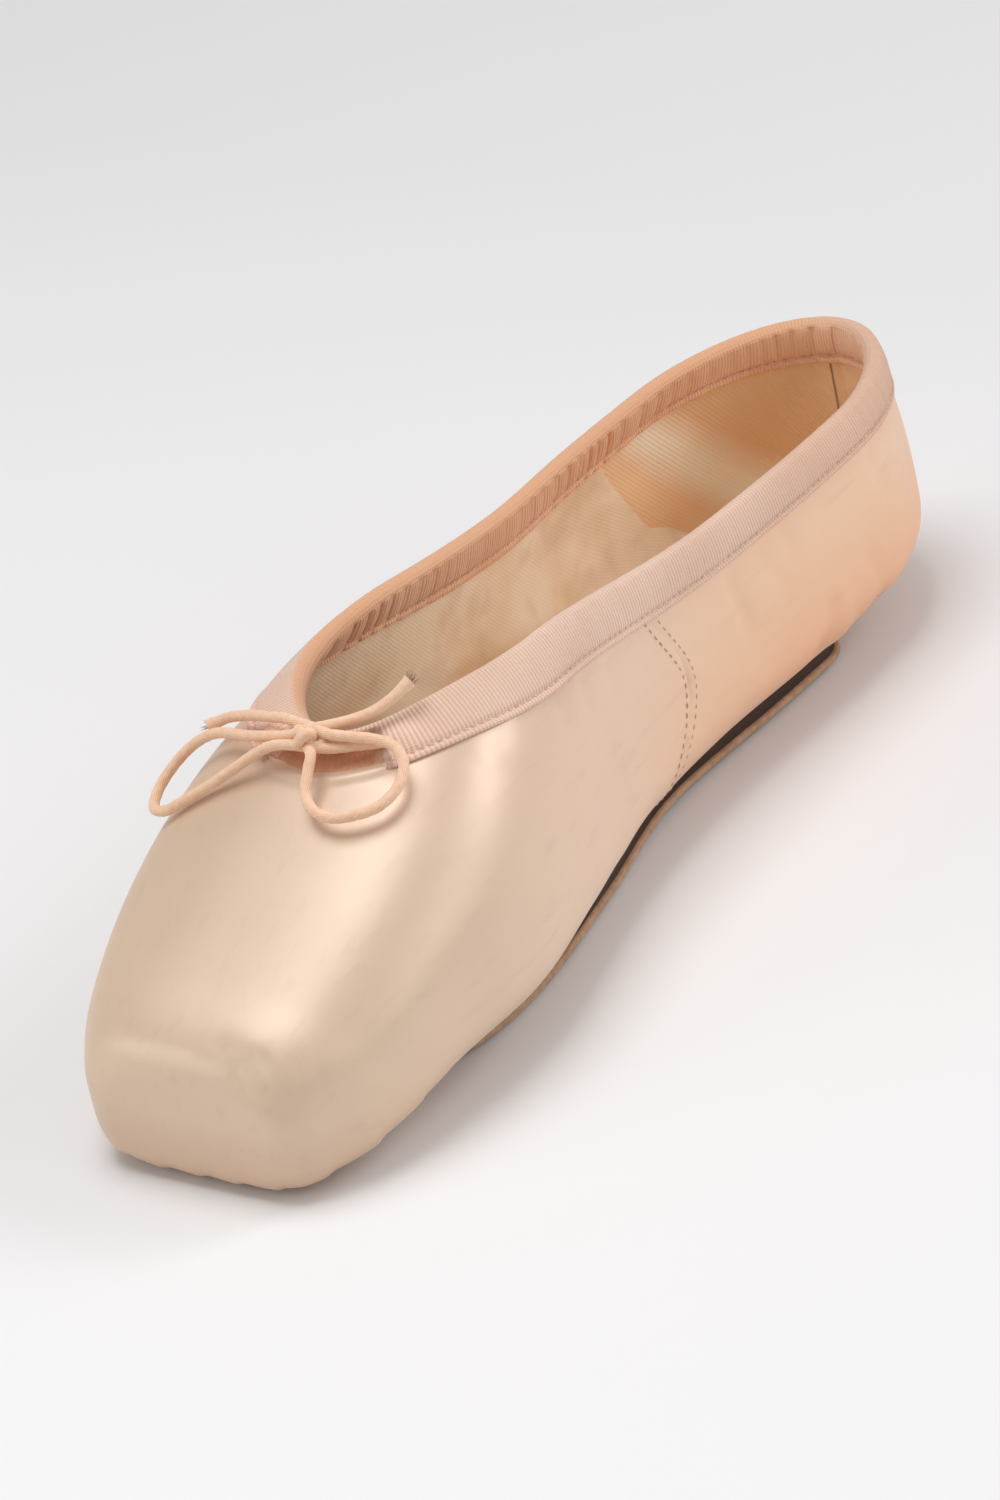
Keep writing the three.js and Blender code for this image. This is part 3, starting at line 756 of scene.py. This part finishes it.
vamp_runs = np.concatenate([
    np.linspace(-PLATFORM, 0, 15)[:-1],
    np.linspace(0, TOE_RUN, 15)[:-1],
    run_of(np.linspace(TOE_ROUND, THROAT, 78))[:-1],
    run_of(round_throat(32))[:-1],
    run_of(np.linspace(THROAT_END, SEAM, 26)),
])[:, None]
vamp_runs = vamp_runs + ease(vamp_runs, run_of(BENT_FROM), run_of(SEAM)) * seam_shift
quarter_runs = np.concatenate([
    np.linspace(run_of(SEAM), HEEL_START, 70)[:-1],
    np.linspace(HEEL_START, FULL_RUN, 52),
])[:, None]
bent = 1 - ease(quarter_runs, run_of(SEAM), run_of(BENT_TO))
quarter_runs = quarter_runs + bent * seam_shift


def split(tree, place):
    """The three parts of a place, each as an output."""
    parts = tree.nodes.new("ShaderNodeSeparateXYZ")
    tree.links.new(place, parts.inputs[0])
    return parts.outputs


satin, tree, shader = nodes_of("peach_satin", 0.36, 0.1, 0.35)
shader.inputs["Metallic"].default_value = 0.12
shader.inputs["Anisotropic"].default_value = 0.4
shader.inputs["IOR"].default_value = 1.6
shader.inputs["Specular IOR Level"].default_value = 0.9
thread = noise(tree, coordinates(tree, "Object", (1, 0.06, 1)), 5200, 2)
slub = noise(tree, coordinates(tree, "Object", (1, 0.12, 1)), 420, 3)
cloud = noise(tree, coordinates(tree, "Object", (1, 0.6, 1)), 26, 3)
# paler at the toe and warmer towards the heel, with painted shade: darker near the vamp's front,
# orange low on the quarters, and darker and browner by the sole
_, y, z = split(tree, coordinates(tree))
# the darker stop at 0.2 is painted shade, for the dark reflected band beside the highlight along
# the vamp's ridge
base = ramp(tree, between(tree, y, -0.105, 0.05), (0, (0.74, 0.54, 0.375)),
            (0.2, (0.69, 0.495, 0.345)), (0.5, (0.77, 0.54, 0.385)), (1, (0.87, 0.545, 0.345)))
base = tinted(tree, base, (0.84, 0.63, 0.47), cloud, 0.35, 0.7, 0.35)
base = tinted(tree, base, (0.60, 0.42, 0.30), slub, 0.55, 0.75, 0.25)
# painted shade: the quarters turn orange from about 38 mm down to 14 mm above the floor
low_shade = between(tree, z, 0.038, 0.014, 0, 0.85)
low_shade = mixed(tree, between(tree, y, -0.01, 0.05), (0, 0, 0), low_shade)
base = mixed(tree, low_shade, base, (0.85, 0.42, 0.21))
# painted shade: darker and browner in the lowest 15 mm, where the satin turns in under the shoe
base = tinted(tree, base, (0.62, 0.385, 0.24), z, 0.015, 0.002, 0.65)
tree.links.new(between(tree, cloud, 0.3, 0.7, 0.38, 0.46), shader.inputs["Roughness"])
dressed(tree, shader, base, (cloud, 0.25), (slub, 0.03), (thread, 0.008))

for name, runs in (("satin_vamp", vamp_runs), ("satin_quarters", quarter_runs)):
    goods = Goods()
    laid_over(goods, runs, COLUMNS, satin_relief, in_by(SATIN_DEPTH))
    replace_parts(goods.piece(name, satin), "upper")


# ---- The seams' stitches ----
# Fine cotton thread: two rows along each side seam and one inside each edge of the heel strip.
def thread_material(name, dark, light):
    material, tree, shader = nodes_of(name, 0.7, 0.2)
    lay = noise(tree, coordinates(tree), 700, 2)
    dressed(tree, shader, ramp(tree, lay, (0.3, dark), (0.7, light)), (lay, 0.03))
    return material


seam_thread = thread_material("seam_thread", (0.47, 0.31, 0.22), (0.68, 0.47, 0.34))


def stitched(goods, path, away, pitch=2.0, length=1.35, thick=0.17, proud=0.12):
    """A row of stitches along a path, each sunk into the cloth at its two ends."""
    gone = lengths_along(path)
    bow = np.array([-1.4, 0.2, 1, 1.2, 1, 0.2, -1.4])
    for start in np.arange(0.3, gone[-1] - length, pitch):
        places = np.linspace(start, start + length, len(bow))
        line = np.stack([np.interp(places, gone, path[:, k]) for k in range(3)], -1)
        lift = np.stack([np.interp(places, gone, away[:, k]) for k in range(3)], -1)
        line += lift * (bow * proud)[:, None]
        tube(goods, line, np.array([0.5, 0.85, 1, 1, 1, 0.85, 0.5]) * thick, 6)


def on_satin(run, turn, side):
    """Places on the satin's outer face and the way out of it."""
    mirror = np.array([side, 1, 1])
    surface = last_point(run, turn)
    away = outward(run, turn)
    height = satin_relief(surface * mirror, place_of(run)[0])
    return (surface + away * height[:, None]) * mirror, away * mirror


seam_goods = Goods()
for side in (1, -1):
    for row in STITCH_ROWS:
        turn = np.linspace(0.62, -1.02, 90)
        straight = np.full(len(turn), float(run_of(SEAM)))
        heights = last_point(straight, turn)[:, 2]
        run = run_of(seam_at(heights)[:, 0] + row)
        stitched(seam_goods, *on_satin(run, turn, side), pitch=1.9, length=1.3)
    # the heel strip: from under the binding down to the back of the outsole
    turn = np.linspace(0.55, -QUARTER_TURN, 260)
    run = np.full(len(turn), FULL_RUN)
    for _ in range(25):
        off = np.abs(last_point(run, turn)[:, 0]) - STRIP_SEAM
        run = np.clip(run + 0.6 * off, HEEL_START, FULL_RUN)
    row_path, row_away = on_satin(run, turn, side)
    reached = np.abs(np.abs(row_path[:, 0]) - STRIP_SEAM) < 0.4
    stitched(seam_goods, row_path[reached], row_away[reached], pitch=2.3, length=1.7)
seam_goods.piece("seam_stitches", seam_thread)


# ---- The lining ----
# Cotton twill, glued inside the canvas: a pale front panel that runs into the dark of the box, and
# a warmer heel panel under its rear edge. The rear one is joined up the middle of the heel.
LINING_SEAM = -2  # how far across the heel lining's seam is
SHADOW = (0.21, 0.15, 0.11)  # deep in the box


def twill(name, light, dark, shade, weave, strength, joined=False):
    """A lining's cloth. A joined one also has its seam, and a pale band painted across it as the
    lit ridge of a fold: a painted highlight with painted shade beside it.
    """
    material, tree, shader = nodes_of(name, 0.85, 0.25, 0.6)
    diagonal = wave(tree, coordinates(tree, "UV"), "DIAGONAL", weave, 0.5, 3)
    cross = wave(tree, coordinates(tree, "UV", (1, -1, 1)), "DIAGONAL", weave * 2.6, 0.4, 3)
    cloud = noise(tree, coordinates(tree), 38, 3)
    stains = noise(tree, coordinates(tree), 110, 3)
    colour = ramp(tree, cloud, (0.35, dark), (0.55, light))
    colour = tinted(tree, colour, shade, stains, 0.5, 0.75, 0.5)
    colour = tinted(tree, colour, shade, diagonal, 0.5, 0, strength)
    x, y, _ = split(tree, coordinates(tree))
    colour = tinted(tree, colour, SHADOW, y, -0.025, -0.062, 0.9)
    if joined:
        middle = between(tree, x, (LINING_SEAM - 4) * MM, (LINING_SEAM + 4) * MM)
        line = ramp(tree, middle, (0.44, (0, 0, 0)), (0.49, (1, 1, 1)), (0.51, (1, 1, 1)),
                    (0.56, (0, 0, 0)))
        # painted highlight: a pale band slanted across the heel panel, as the lit ridge of a fold,
        # with painted shade after it; it gives most of the panel its colour
        _, slope, _ = split(tree, coordinates(tree, tilt=-44))
        fold = ramp(tree, between(tree, slope, 0.075, 0.115),
                    (0, (0.90, 0.57, 0.31)), (0.12, (0.92, 0.60, 0.34)), (0.26, (1, 0.93, 0.77)),
                    (0.34, (1, 0.90, 0.72)), (0.5, (0.85, 0.52, 0.27)), (1, (0.92, 0.62, 0.36)))
        colour = mixed(tree, 0.85, colour, fold)
        colour = mixed(tree, line, colour, (0.30, 0.16, 0.08))
    dressed(tree, shader, colour, (cloud, 0.5), (diagonal, 0.4 * strength), (cross, 0.01))
    return material


front_twill = twill("front_twill", (0.99, 0.80, 0.60), (0.89, 0.62, 0.39), (0.71, 0.47, 0.28),
                    weave=6.0, strength=0.05)
heel_twill = twill("heel_twill", (1.0, 0.77, 0.52), (0.94, 0.62, 0.36), (0.70, 0.41, 0.21),
                   weave=5.0, strength=0.15, joined=True)

# folds placed one by one, as the creases are
LINING_FOLDS = [
    ((-25, 4, 34), (-26, 40, 22), 5, -2.0),
    ((-25, -20, 34), (-27, 8, 20), 5, -1.8),
    ((-25, -2, 42), (-26, 22, 30), 4, 0.9),
    ((-25, 30, 44), (-26.5, 60, 28), 4.5, 1.0),
    ((-24.5, 64, 42), (-26.5, 78, 24), 4, -1.7),
    ((-25.5, 78, 38), (-26.5, 90, 26), 4, 0.8),
    ((-24, 92, 40), (-24, 84, 22), 5, -1.6),
    ((-14, 108, 42), (-20, 100, 26), 4, -1.2),
    ((25, 10, 40), (26, 40, 24), 7, -0.8),
    ((26, 60, 40), (27, 84, 26), 6, -0.7),
    ((-27, -34, 38), (-27, -12, 26), 4, 0.8),
]


def lining_face(depth):
    """The lining's inner face, which stands a depth off the wall."""
    def off(points, station):
        height = -wall_at(station) + depth
        below_tape = 1 - ease(points[..., 2], 32, 38)
        for start, end, width, fold in LINING_FOLDS:
            height = height + 0.8 * fold * near(points, start, end, width) * below_tape
        # the seam up the middle of the heel, and the edge that is folded under beside it
        middle = points[..., 0] - LINING_SEAM
        at_heel = ease(station, 205, 225)
        height = height + at_heel * (0.35 * hill(middle - 1.6, 0.5) - 0.45 * hill(middle, 0.9))
        return np.minimum(height, -SATIN_DEPTH - 0.35)
    return off


LINING_COLUMNS = 74
PANEL_EDGE = 194  # the station where the front panel ends, before its edge is slanted
PANEL_OVERLAP = 10  # how far the heel panel goes in under that edge
front_lining_runs = np.concatenate([
    np.linspace(-PLATFORM, 0, 8)[:-1],
    np.linspace(0, TOE_RUN, 6)[:-1],
    run_of(np.linspace(TOE_ROUND, THROAT, 26)[:-1]),
    run_of(round_throat(26)),
    run_of(np.linspace(THROAT_END, PANEL_EDGE, 60)[1:]),
])[:, None]
slant = np.interp(np.linspace(0, 1, LINING_COLUMNS), (0, 0.44, 0.6, 1), (-15, 9.6, 15, 10))
slanted = ease(front_lining_runs, run_of(150), run_of(PANEL_EDGE))
front_lining_runs = front_lining_runs + slant * slanted
heel_lining_runs = np.concatenate([
    np.linspace(run_of(PANEL_EDGE - PANEL_OVERLAP), HEEL_START, 16)[:-1],
    np.linspace(HEEL_START, FULL_RUN, 46),
])[:, None]
for name, runs, material, depth in (
    ("lining_front", front_lining_runs, front_twill, -0.35),
    ("lining_heel", heel_lining_runs, heel_twill, 0.0),
):
    goods = Goods()
    laid_over(goods, runs, LINING_COLUMNS, in_by(SATIN_DEPTH + 0.06), lining_face(depth))
    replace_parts(goods.piece(name, material), "upper")


# ---- The outsole ----
# One piece of split leather, glued and sewn on under the arch. Its edge is cut clean and tan, and
# the seam between it and the satin is a groove, painted near black as shade. It is flat under the
# ball and the heel end.
def beneath(x, station):
    """A place on the underside of the last, and the way down from it."""
    row = last_at(station)
    turn = -turn_across(np.abs(x) / row[..., 1], row[..., 5])
    run = run_of(station)
    mirror = np.stack([np.where(x < 0, -1, 1), np.ones(x.shape), np.ones(x.shape)], -1)
    return last_point(run, turn) * mirror, outward(run, turn) * mirror


def outline(half_at, start, end, corner, count):
    """The edge of a flat piece, all the way round: places across and station, the way in, and
    the two ends of its middle line."""
    bend = 1 - np.cos(np.linspace(0, QUARTER_TURN, count))
    station = np.concatenate([
        start + corner * bend[:-1],
        np.linspace(start + corner, end - corner, count * 3)[:-1],
        end - corner * bend[::-1],
    ])
    half = half_at(station)
    x = np.concatenate([half, -half[::-1]])
    station = np.concatenate([station, station[::-1]])
    ahead = unit(np.stack([np.gradient(x), np.gradient(station)], -1))
    inward = np.stack([-ahead[:, 1], ahead[:, 0]], -1)
    for tip, way in ((0, 1), (-1, 1), (len(half) - 1, -1), (len(half), -1)):
        inward[tip] = (0, way)
    return x, station, inward, (start + corner, end - corner)


def ringed(edge, depths, share_count=1):
    """Rings from an outline inwards: first by depth, then drawn in to the middle line."""
    x, station, inward, middle_ends = edge
    rings = [(x + inward[:, 0] * depth, station + inward[:, 1] * depth) for depth in depths]
    last_x, last_station = rings[-1]
    middle = np.clip(last_station, *middle_ends)
    for share in np.linspace(0, 1, share_count)[1:]:
        rings.append((last_x * (1 - share), last_station * (1 - share) + middle * share))
    return rings


def looped(rows, way=1):
    """A sheet with its first line repeated at its end, so that it closes on itself."""
    return np.concatenate([rows, np.take(rows, [0], way)], way)


suede, tree, shader = nodes_of("sole_leather", 0.8, 0.15, 0.6)
_, v, _ = split(tree, coordinates(tree, "UV"))
place = coordinates(tree)
grain = noise(tree, place, 900, 4, 0.6)
blotch = noise(tree, place, 42, 4, 0.6)
hide = ramp(tree, blotch, (0.3, (0.40, 0.26, 0.185)), (0.7, (0.50, 0.335, 0.24)))
hide = tinted(tree, hide, (0.58, 0.41, 0.31), grain, 0.35, 0.7, 0.3)
wear = noise(tree, coordinates(tree, "Object", (1, 0.3, 1)), 130, 4, 0.65)
hide = tinted(tree, hide, (0.30, 0.19, 0.13), wear, 0.62, 0.75, 0.35)
edge_tan = ramp(tree, noise(tree, place, 500, 3), (0.3, (0.36, 0.20, 0.11)),
                (0.7, (0.52, 0.31, 0.18)))
hide = tinted(tree, hide, edge_tan, v, 0.99, 1.01)
# painted shade: the groove and the sole's upper face are near black, as the gap to the satin lies
# in shade
hide = tinted(tree, hide, (0.055, 0.028, 0.016), v, 1.7, 1.95)
dressed(tree, shader, hide, (blotch, 0.12), (grain, 0.06))

SOLE_EDGE = 1.25  # the cut edge's height
BEVEL = 5.0  # how far in the underside starts to rise towards its edge
BEVEL_RISE = 1.1
GROOVE = 2.0  # the depth of the groove above the edge
GAP = 0.05  # from the sole's upper face to the satin
edge = outline(sole_half, SOLE_START, SOLE_END, SOLE_CORNER, 22)
sole_rows = []
sole_marks = []


def sole_row(ring, height_of, mark):
    """Adds a ring at the height that height_of makes of the floor's and the satin's heights."""
    x, station = ring
    points, away = beneath(x, station)
    top = points + away * 0.3
    lift = np.maximum(outsole_at(station)[:, 1], 0)
    points = np.stack([top[:, 0], top[:, 1], height_of(lift, top[:, 2] - GAP)], -1)
    sole_rows.append(points)
    sole_marks.append(np.stack([station / 10, np.full(station.shape, mark)], -1))


for number, ring in reversed(list(enumerate(ringed(edge, np.linspace(0, BEVEL, 9), 10)))):
    rise = BEVEL_RISE * (1 - ease(min(number / 8, 1), 0, 1))
    sole_row(ring, lambda lift, top: lift + rise, 0.5 if number else 0.98)
for depth, up in (
    (-0.12, 0.25), (-0.2, 0.6), (-0.12, 1.0), (0.05, SOLE_EDGE), (0.5, SOLE_EDGE + 0.06),
):
    sole_row(ringed(edge, [depth])[0],
             lambda lift, top: np.minimum(lift + BEVEL_RISE + up, top), 1.1 + up / 3)
for depth, share in (
    (GROOVE * 0.6, 0.0), (GROOVE, 0.15), (GROOVE + 0.3, 0.75), (GROOVE + 0.6, 1.0),
):
    sole_row(ringed(edge, [depth])[0],
             lambda lift, top: np.minimum(lift + BEVEL_RISE + SOLE_EDGE, top) * (1 - share)
             + top * share, 2.4)
for ring in ringed(edge, [GROOVE + 0.6, BEVEL], 10)[1:]:
    sole_row(ring, lambda lift, top: top, 2.6)
sole_goods = Goods()
sole_goods.sheet(looped(np.array(sole_rows)), looped(np.array(sole_marks)))
leather_outsole = sole_goods.piece("leather_outsole", suede)
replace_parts(leather_outsole, "outsole")


# ---- The insole ----
# A thin flexible board under a cotton sock, laid on the upper's turned-in margin.
sock, tree, shader = nodes_of("insole_sock", 0.9, 0.3, 0.6)
place = coordinates(tree)
warp = wave(tree, place, "X", 400, 0.4, 4)
weft = wave(tree, place, "Y", 400, 0.4, 4)
cloud = noise(tree, place, 60, 4)
colour = ramp(tree, cloud, (0.3, (0.60, 0.47, 0.33)), (0.7, (0.74, 0.61, 0.45)))
colour = tinted(tree, colour, (0.44, 0.32, 0.21), warp, 0.5, 0.0, 0.2)
dressed(tree, shader, colour, (cloud, 0.3), (warp, 0.05), (weft, 0.05))

INSOLE_START = 12
INSOLE_END = 218
INSOLE_CORNER = 15
# station, half width
insole_at = read_table([
    (INSOLE_START, 17), (30, 25), (62, 28.5), (100, 20), (140, 15), (175, 17), (INSOLE_END, 14),
])


def insole_half(station):
    share = both_ends(station, INSOLE_START, INSOLE_END, INSOLE_CORNER)
    return insole_at(station)[..., 0] * share


insole_rows = []
edge = outline(insole_half, INSOLE_START, INSOLE_END, INSOLE_CORNER, 18)
# rings and how far each is off the wall: the underside, the edge, then the sock on top
faces = [(ring, 0.3) for ring in reversed(ringed(edge, [0, 1, 2.5], 8))]
faces += [(ringed(edge, [depth])[0], up) for depth, up in ((-0.1, 0.7), (-0.15, 1.3), (0, 1.9))]
faces += [(ring, 2.45 if number else 2.3)
          for number, ring in enumerate(ringed(edge, [0.5, 1.2, 2.5], 8))]
for (x, station), up in faces:
    points, away = beneath(x, station)
    # the sock is pressed down a little under the ball and the heel
    dent = 0.25 * hill(station - 60, 26) + 0.2 * hill(station - 190, 18)
    sag = dent * (1 - ease(np.abs(x), 8, 22)) if up > 2 else 0
    insole_rows.append(points - away * (wall_at(station) + up - sag)[:, None])
insole_goods = Goods()
insole_goods.sheet(looped(np.array(insole_rows)))
insole_board = insole_goods.piece("insole_board", sock)
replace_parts(insole_board, "insole")


# ---- The binding ----
# A ribbed cotton tape folded over the collar's edge as a casing for the drawstring, and sewn
# through near both of its edges. It is left open under the knot, where the strings come out.
tape, tree, shader = nodes_of("binding_tape", 0.72, 0.35, 0.45)
place = coordinates(tree, "UV")
_, v, _ = split(tree, place)
ribs = wave(tree, place, "X", 4.1, 0.25, 6)
picks = wave(tree, place, "Y", 6.5, 0.4, 6)
cloud = noise(tree, coordinates(tree), 55, 3)
outer_tone = ramp(tree, cloud, (0.3, (0.80, 0.545, 0.415)), (0.7, (0.89, 0.64, 0.51)))
x, y, _ = split(tree, coordinates(tree))
# painted shade: the tape darkens and turns more orange towards the heel
outer_tone = tinted(tree, outer_tone, (0.73, 0.42, 0.27), y, 0.02, 0.1, 0.8)
# painted shade: the inside of the tape is the same tape, given a more orange copy of its colour,
# as it faces into the shoe
inner_shaded_tone = ramp(tree, cloud, (0.3, (0.88, 0.46, 0.26)), (0.7, (0.97, 0.58, 0.37)))
outer_tone = tinted(tree, outer_tone, (0.60, 0.32, 0.20), ribs, 0.5, 0.0, 0.5)
inner_shaded_tone = tinted(tree, inner_shaded_tone, (0.55, 0.27, 0.15), ribs, 0.5, 0.0, 0.15)
# painted shade: on the far side the tape's fold turns orange, as it is seen from within the shoe
far_rim_shade = mixed(tree, between(tree, x, 0.004, -0.012), (0, 0, 0), between(tree, v, 0.96, 1.05))
outer_tone = mixed(tree, far_rim_shade, outer_tone, (0.76, 0.40, 0.22))
colour = tinted(tree, outer_tone, inner_shaded_tone, v, 1.2, 1.32)
# painted shade: deep red-orange inside the open casing under the knot
colour = tinted(tree, colour, (0.50, 0.17, 0.065), v, 2.8, 3.6)
dressed(tree, shader, colour, (ribs, 0.14), (picks, 0.04), (cloud, 0.2))

# the tape's section, outside and inside: distance below the collar's edge, distance off the wall
OUTSIDE = [
    (10.0, 0.1), (10.2, 0.25), (10.2, 0.6), (10.0, 0.8), (9.6, 0.86), (9.2, 0.76), (8.9, 0.5),
    (8.65, 0.42), (8.4, 0.52), (8.1, 0.78), (7.6, 0.92), (7.0, 1.0), (6.2, 1.08), (5.4, 1.14),
    (4.6, 1.18), (3.8, 1.2), (3.0, 1.2), (2.2, 1.18), (1.4, 1.14), (0.7, 1.08), (0.0, 0.98),
]
INSIDE = [
    (0.0, 0.9), (0.7, 1.0), (1.4, 1.08), (2.2, 1.14), (3.0, 1.16), (3.8, 1.14), (4.6, 1.08),
    (5.2, 0.98), (5.8, 0.8), (6.1, 0.5), (6.4, 0.42), (6.7, 0.55), (7.0, 0.8), (7.5, 0.88),
    (7.9, 0.75), (8.1, 0.45), (8.0, 0.12),
]
# station, how far the tape reaches down the outside
binding_at = read_table([(60, 10), (95, 9.5), (125, 8.4), (160, 7.5), (236, 6.8)])
FOLD_TURNS = np.linspace(0, math.pi, 11)[1:-1]
FOLD_RISE = 1.15  # how far the fold stands above the collar's edge
FOLD_OUT = 1.0  # how far it stands off the wall, outside and inside
FOLD_IN = 0.9
OPEN_MARK = 3  # added to the cloth's mark where the casing is open, to paint shade into it


def gathers(gone, side):
    """The drawstring's gathers along the tape: soft hills with a sharp fold between each two."""
    wander = 1.3 * np.sin(gone / 9.0 + side) + 0.7 * np.sin(gone / 4.1)
    fold = 1 - np.abs(np.sin(gone / 1.5 + wander))
    return (0.5 - 1.6 * fold ** 2) * (0.6 + 0.4 * np.sin(gone / 13.0 + 2 * side))


def opened(gone, side, down):
    """1 where the casing is open under the knot, falling to 0 at its two ends and its fold."""
    signed = gone * side
    ends = ease(signed, SLOT_LEFT - 1.2, SLOT_LEFT + 1.2)
    return ends * (1 - ease(signed, SLOT_RIGHT - 1.8, SLOT_RIGHT + 1.2)) * ease(down, 0.6, 2.0)


def tape_off(down, off, face, gone, side):
    """How far one line of the tape's section stands off the wall, at each place along it."""
    signed = gone * side
    body = ease(off, 0.6, 1.0)
    pucker = gathers(gone, side)
    if face == "inside":
        return off + 0.7 * pucker * body * ease(gone, 10, 40)
    off = off + 0.12 * pucker * body * ease(gone, 30, 60)
    # the casing's two ends, puffed up beside the opening
    lips = hill(signed - SLOT_LEFT + 2.8, 2.4) + hill(signed - SLOT_RIGHT - 2.8, 2.4)
    off = off + 0.9 * lips * body * hill(down - 4.6, 2.6)
    covered = opened(gone, side, down)
    return off * (1 - covered) + 0.12 * covered


runs = np.concatenate([
    run_of(round_throat(110))[:-1],
    run_of(np.linspace(THROAT_END, LENGTH - HEEL_ROUND, 130)[:-1]),
    np.linspace(HEEL_START, FULL_RUN, 90),
])
turn, down_way, gone = collar_edge(runs)
reaches = binding_at(place_of(runs)[0])[..., 0] / 10


def tape_line(side, down, off, face, mark):
    """One line along the tape: its places, and where they are on the cloth."""
    reach = reaches if face == "outside" else 1
    run, angle = slid(runs, turn, down_way, down * reach) if down > 0 else (runs, turn)
    if down >= 0:
        off = tape_off(down, np.full(len(runs), off), face, gone, side)
    offset = off if face == "outside" else -(wall_at(place_of(run)[0]) + off)
    point = last_point(run, angle) + outward(run, angle) * offset[:, None]
    if down < 0:
        point += down_way * down
    point[0, 0] = point[-1, 0] = 0
    if face == "outside":
        mark = mark + OPEN_MARK * opened(gone, side, down)
    return point * (side, 1, 1), np.stack([side * gone / 10, np.full(len(gone), 1.0) * mark], -1)


binding_goods = Goods()
binding_rows = {}
for side in (1, -1):
    lines = [(down, off, "outside", (10 - down) / 10) for down, off in OUTSIDE]
    half = (FOLD_OUT + wall_at(place_of(runs)[0]) + FOLD_IN) / 2
    for fold in FOLD_TURNS:
        off = FOLD_OUT - half + half * math.cos(fold)
        off = off + 0.12 * gathers(gone, side) * math.sin(fold) * ease(gone, 20, 50)
        lines.append((-FOLD_RISE * math.sin(fold), off, "outside", 1 + 0.3 * fold / math.pi))
    lines += [(down, off, "inside", 1.3 + down / 10) for down, off in INSIDE]
    # the tape's other face, on the wall: up the inside, over the edge and down the outside
    lines += [(down, 0.08, "inside", 2.2) for down in (6, 3, 0.5)]
    lines.append((-0.12, np.full(len(runs), -0.2), "outside", 2.3))
    lines += [(down, 0.06, "outside", 2.4) for down in (0.5, 4, 8)]
    places, marks = (np.array(part) for part in zip(*(tape_line(side, *line) for line in lines)))
    binding_rows[side] = places
    binding_goods.sheet(looped(places, 0), looped(marks, 0), side > 0)
binding = binding_goods.piece("binding", tape, 60)
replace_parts(binding, "collar_binding")

# the binding's two rows of stitches, outside and inside
tape_thread = thread_material("binding_thread", (0.62, 0.38, 0.27), (0.86, 0.62, 0.50))
# the lines of the tape's section at the bottom of its two grooves
OUTSIDE_GROOVE = OUTSIDE.index((8.65, 0.42))
INSIDE_GROOVE = len(OUTSIDE) + len(FOLD_TURNS) + INSIDE.index((6.4, 0.42))
tape_goods = Goods()
for side, rows in binding_rows.items():
    slot_end = SLOT_RIGHT if side > 0 else -SLOT_LEFT
    for groove, start in ((OUTSIDE_GROOVE, 1.5 * slot_end), (INSIDE_GROOVE, 0)):
        path = rows[groove]
        beside = rows[groove + 1] - rows[groove - 1]
        away = unit(np.cross(np.gradient(path, axis=0), beside) * side)
        kept = lengths_along(path) > start
        stitched(tape_goods, path[kept], away[kept], pitch=1.8, length=1.3, thick=0.16)
tape_goods.piece("binding_stitches", tape_thread)


# ---- The studio ----
# A pale floor that greys towards the back as painted shade, where the light falls off, a dim even
# sky,
# and four soft lights: overhead, behind, beside and in front.
floor_material, tree, shader = nodes_of("pale_floor", 0.55)
_, y, _ = split(tree, coordinates(tree))
back = between(tree, y, -0.3, 0.25)
# painted shade: the floor greys towards the back
painted_falloff = ramp(tree, back, (0, (0.93, 0.925, 0.93)), (1, (0.77, 0.765, 0.775)))
tree.links.new(painted_falloff, shader.inputs["Base Color"])
floor_mesh = bpy.data.meshes.new("floor")
floor_mesh.from_pydata([(-4, -4, 0), (4, -4, 0), (4, 4, 0), (-4, 4, 0)], [], [(0, 1, 2, 3)])
floor_mesh.materials.append(floor_material)
floor = bpy.data.objects.new("floor", floor_mesh)
bpy.context.scene.collection.objects.link(floor)

world = bpy.data.worlds.new("studio")
world.use_nodes = True
sky = world.node_tree.nodes["Background"]
sky.inputs["Color"].default_value = (0.93, 0.92, 0.92, 1)
sky.inputs["Strength"].default_value = 0.4
bpy.context.scene.world = world
bpy.context.scene.view_settings.view_transform = "Standard"


def soft_light(name, place, size, power):
    """A panel of light that faces the middle of the shoe."""
    light = bpy.data.lights.new(name, "AREA")
    light.shape = "RECTANGLE"
    light.size, light.size_y = size
    light.energy = power
    lamp = bpy.data.objects.new(name, light)
    lamp.location = place
    lamp.rotation_mode = "QUATERNION"
    lamp.rotation_quaternion = Vector(place).to_track_quat("Z", "Y")
    bpy.context.scene.collection.objects.link(lamp)


soft_light("overhead", (-0.16, -0.06, 1.25), (0.7, 0.7), 8.0)
soft_light("behind", (0.95, 1.05, 0.98), (0.6, 0.7), 7.5)
soft_light("beside", (1.5, 0.3, 0.75), (1.0, 0.8), 4.5)
soft_light("front", (-1.2, -1.3, 0.7), (1.2, 1.0), 6)
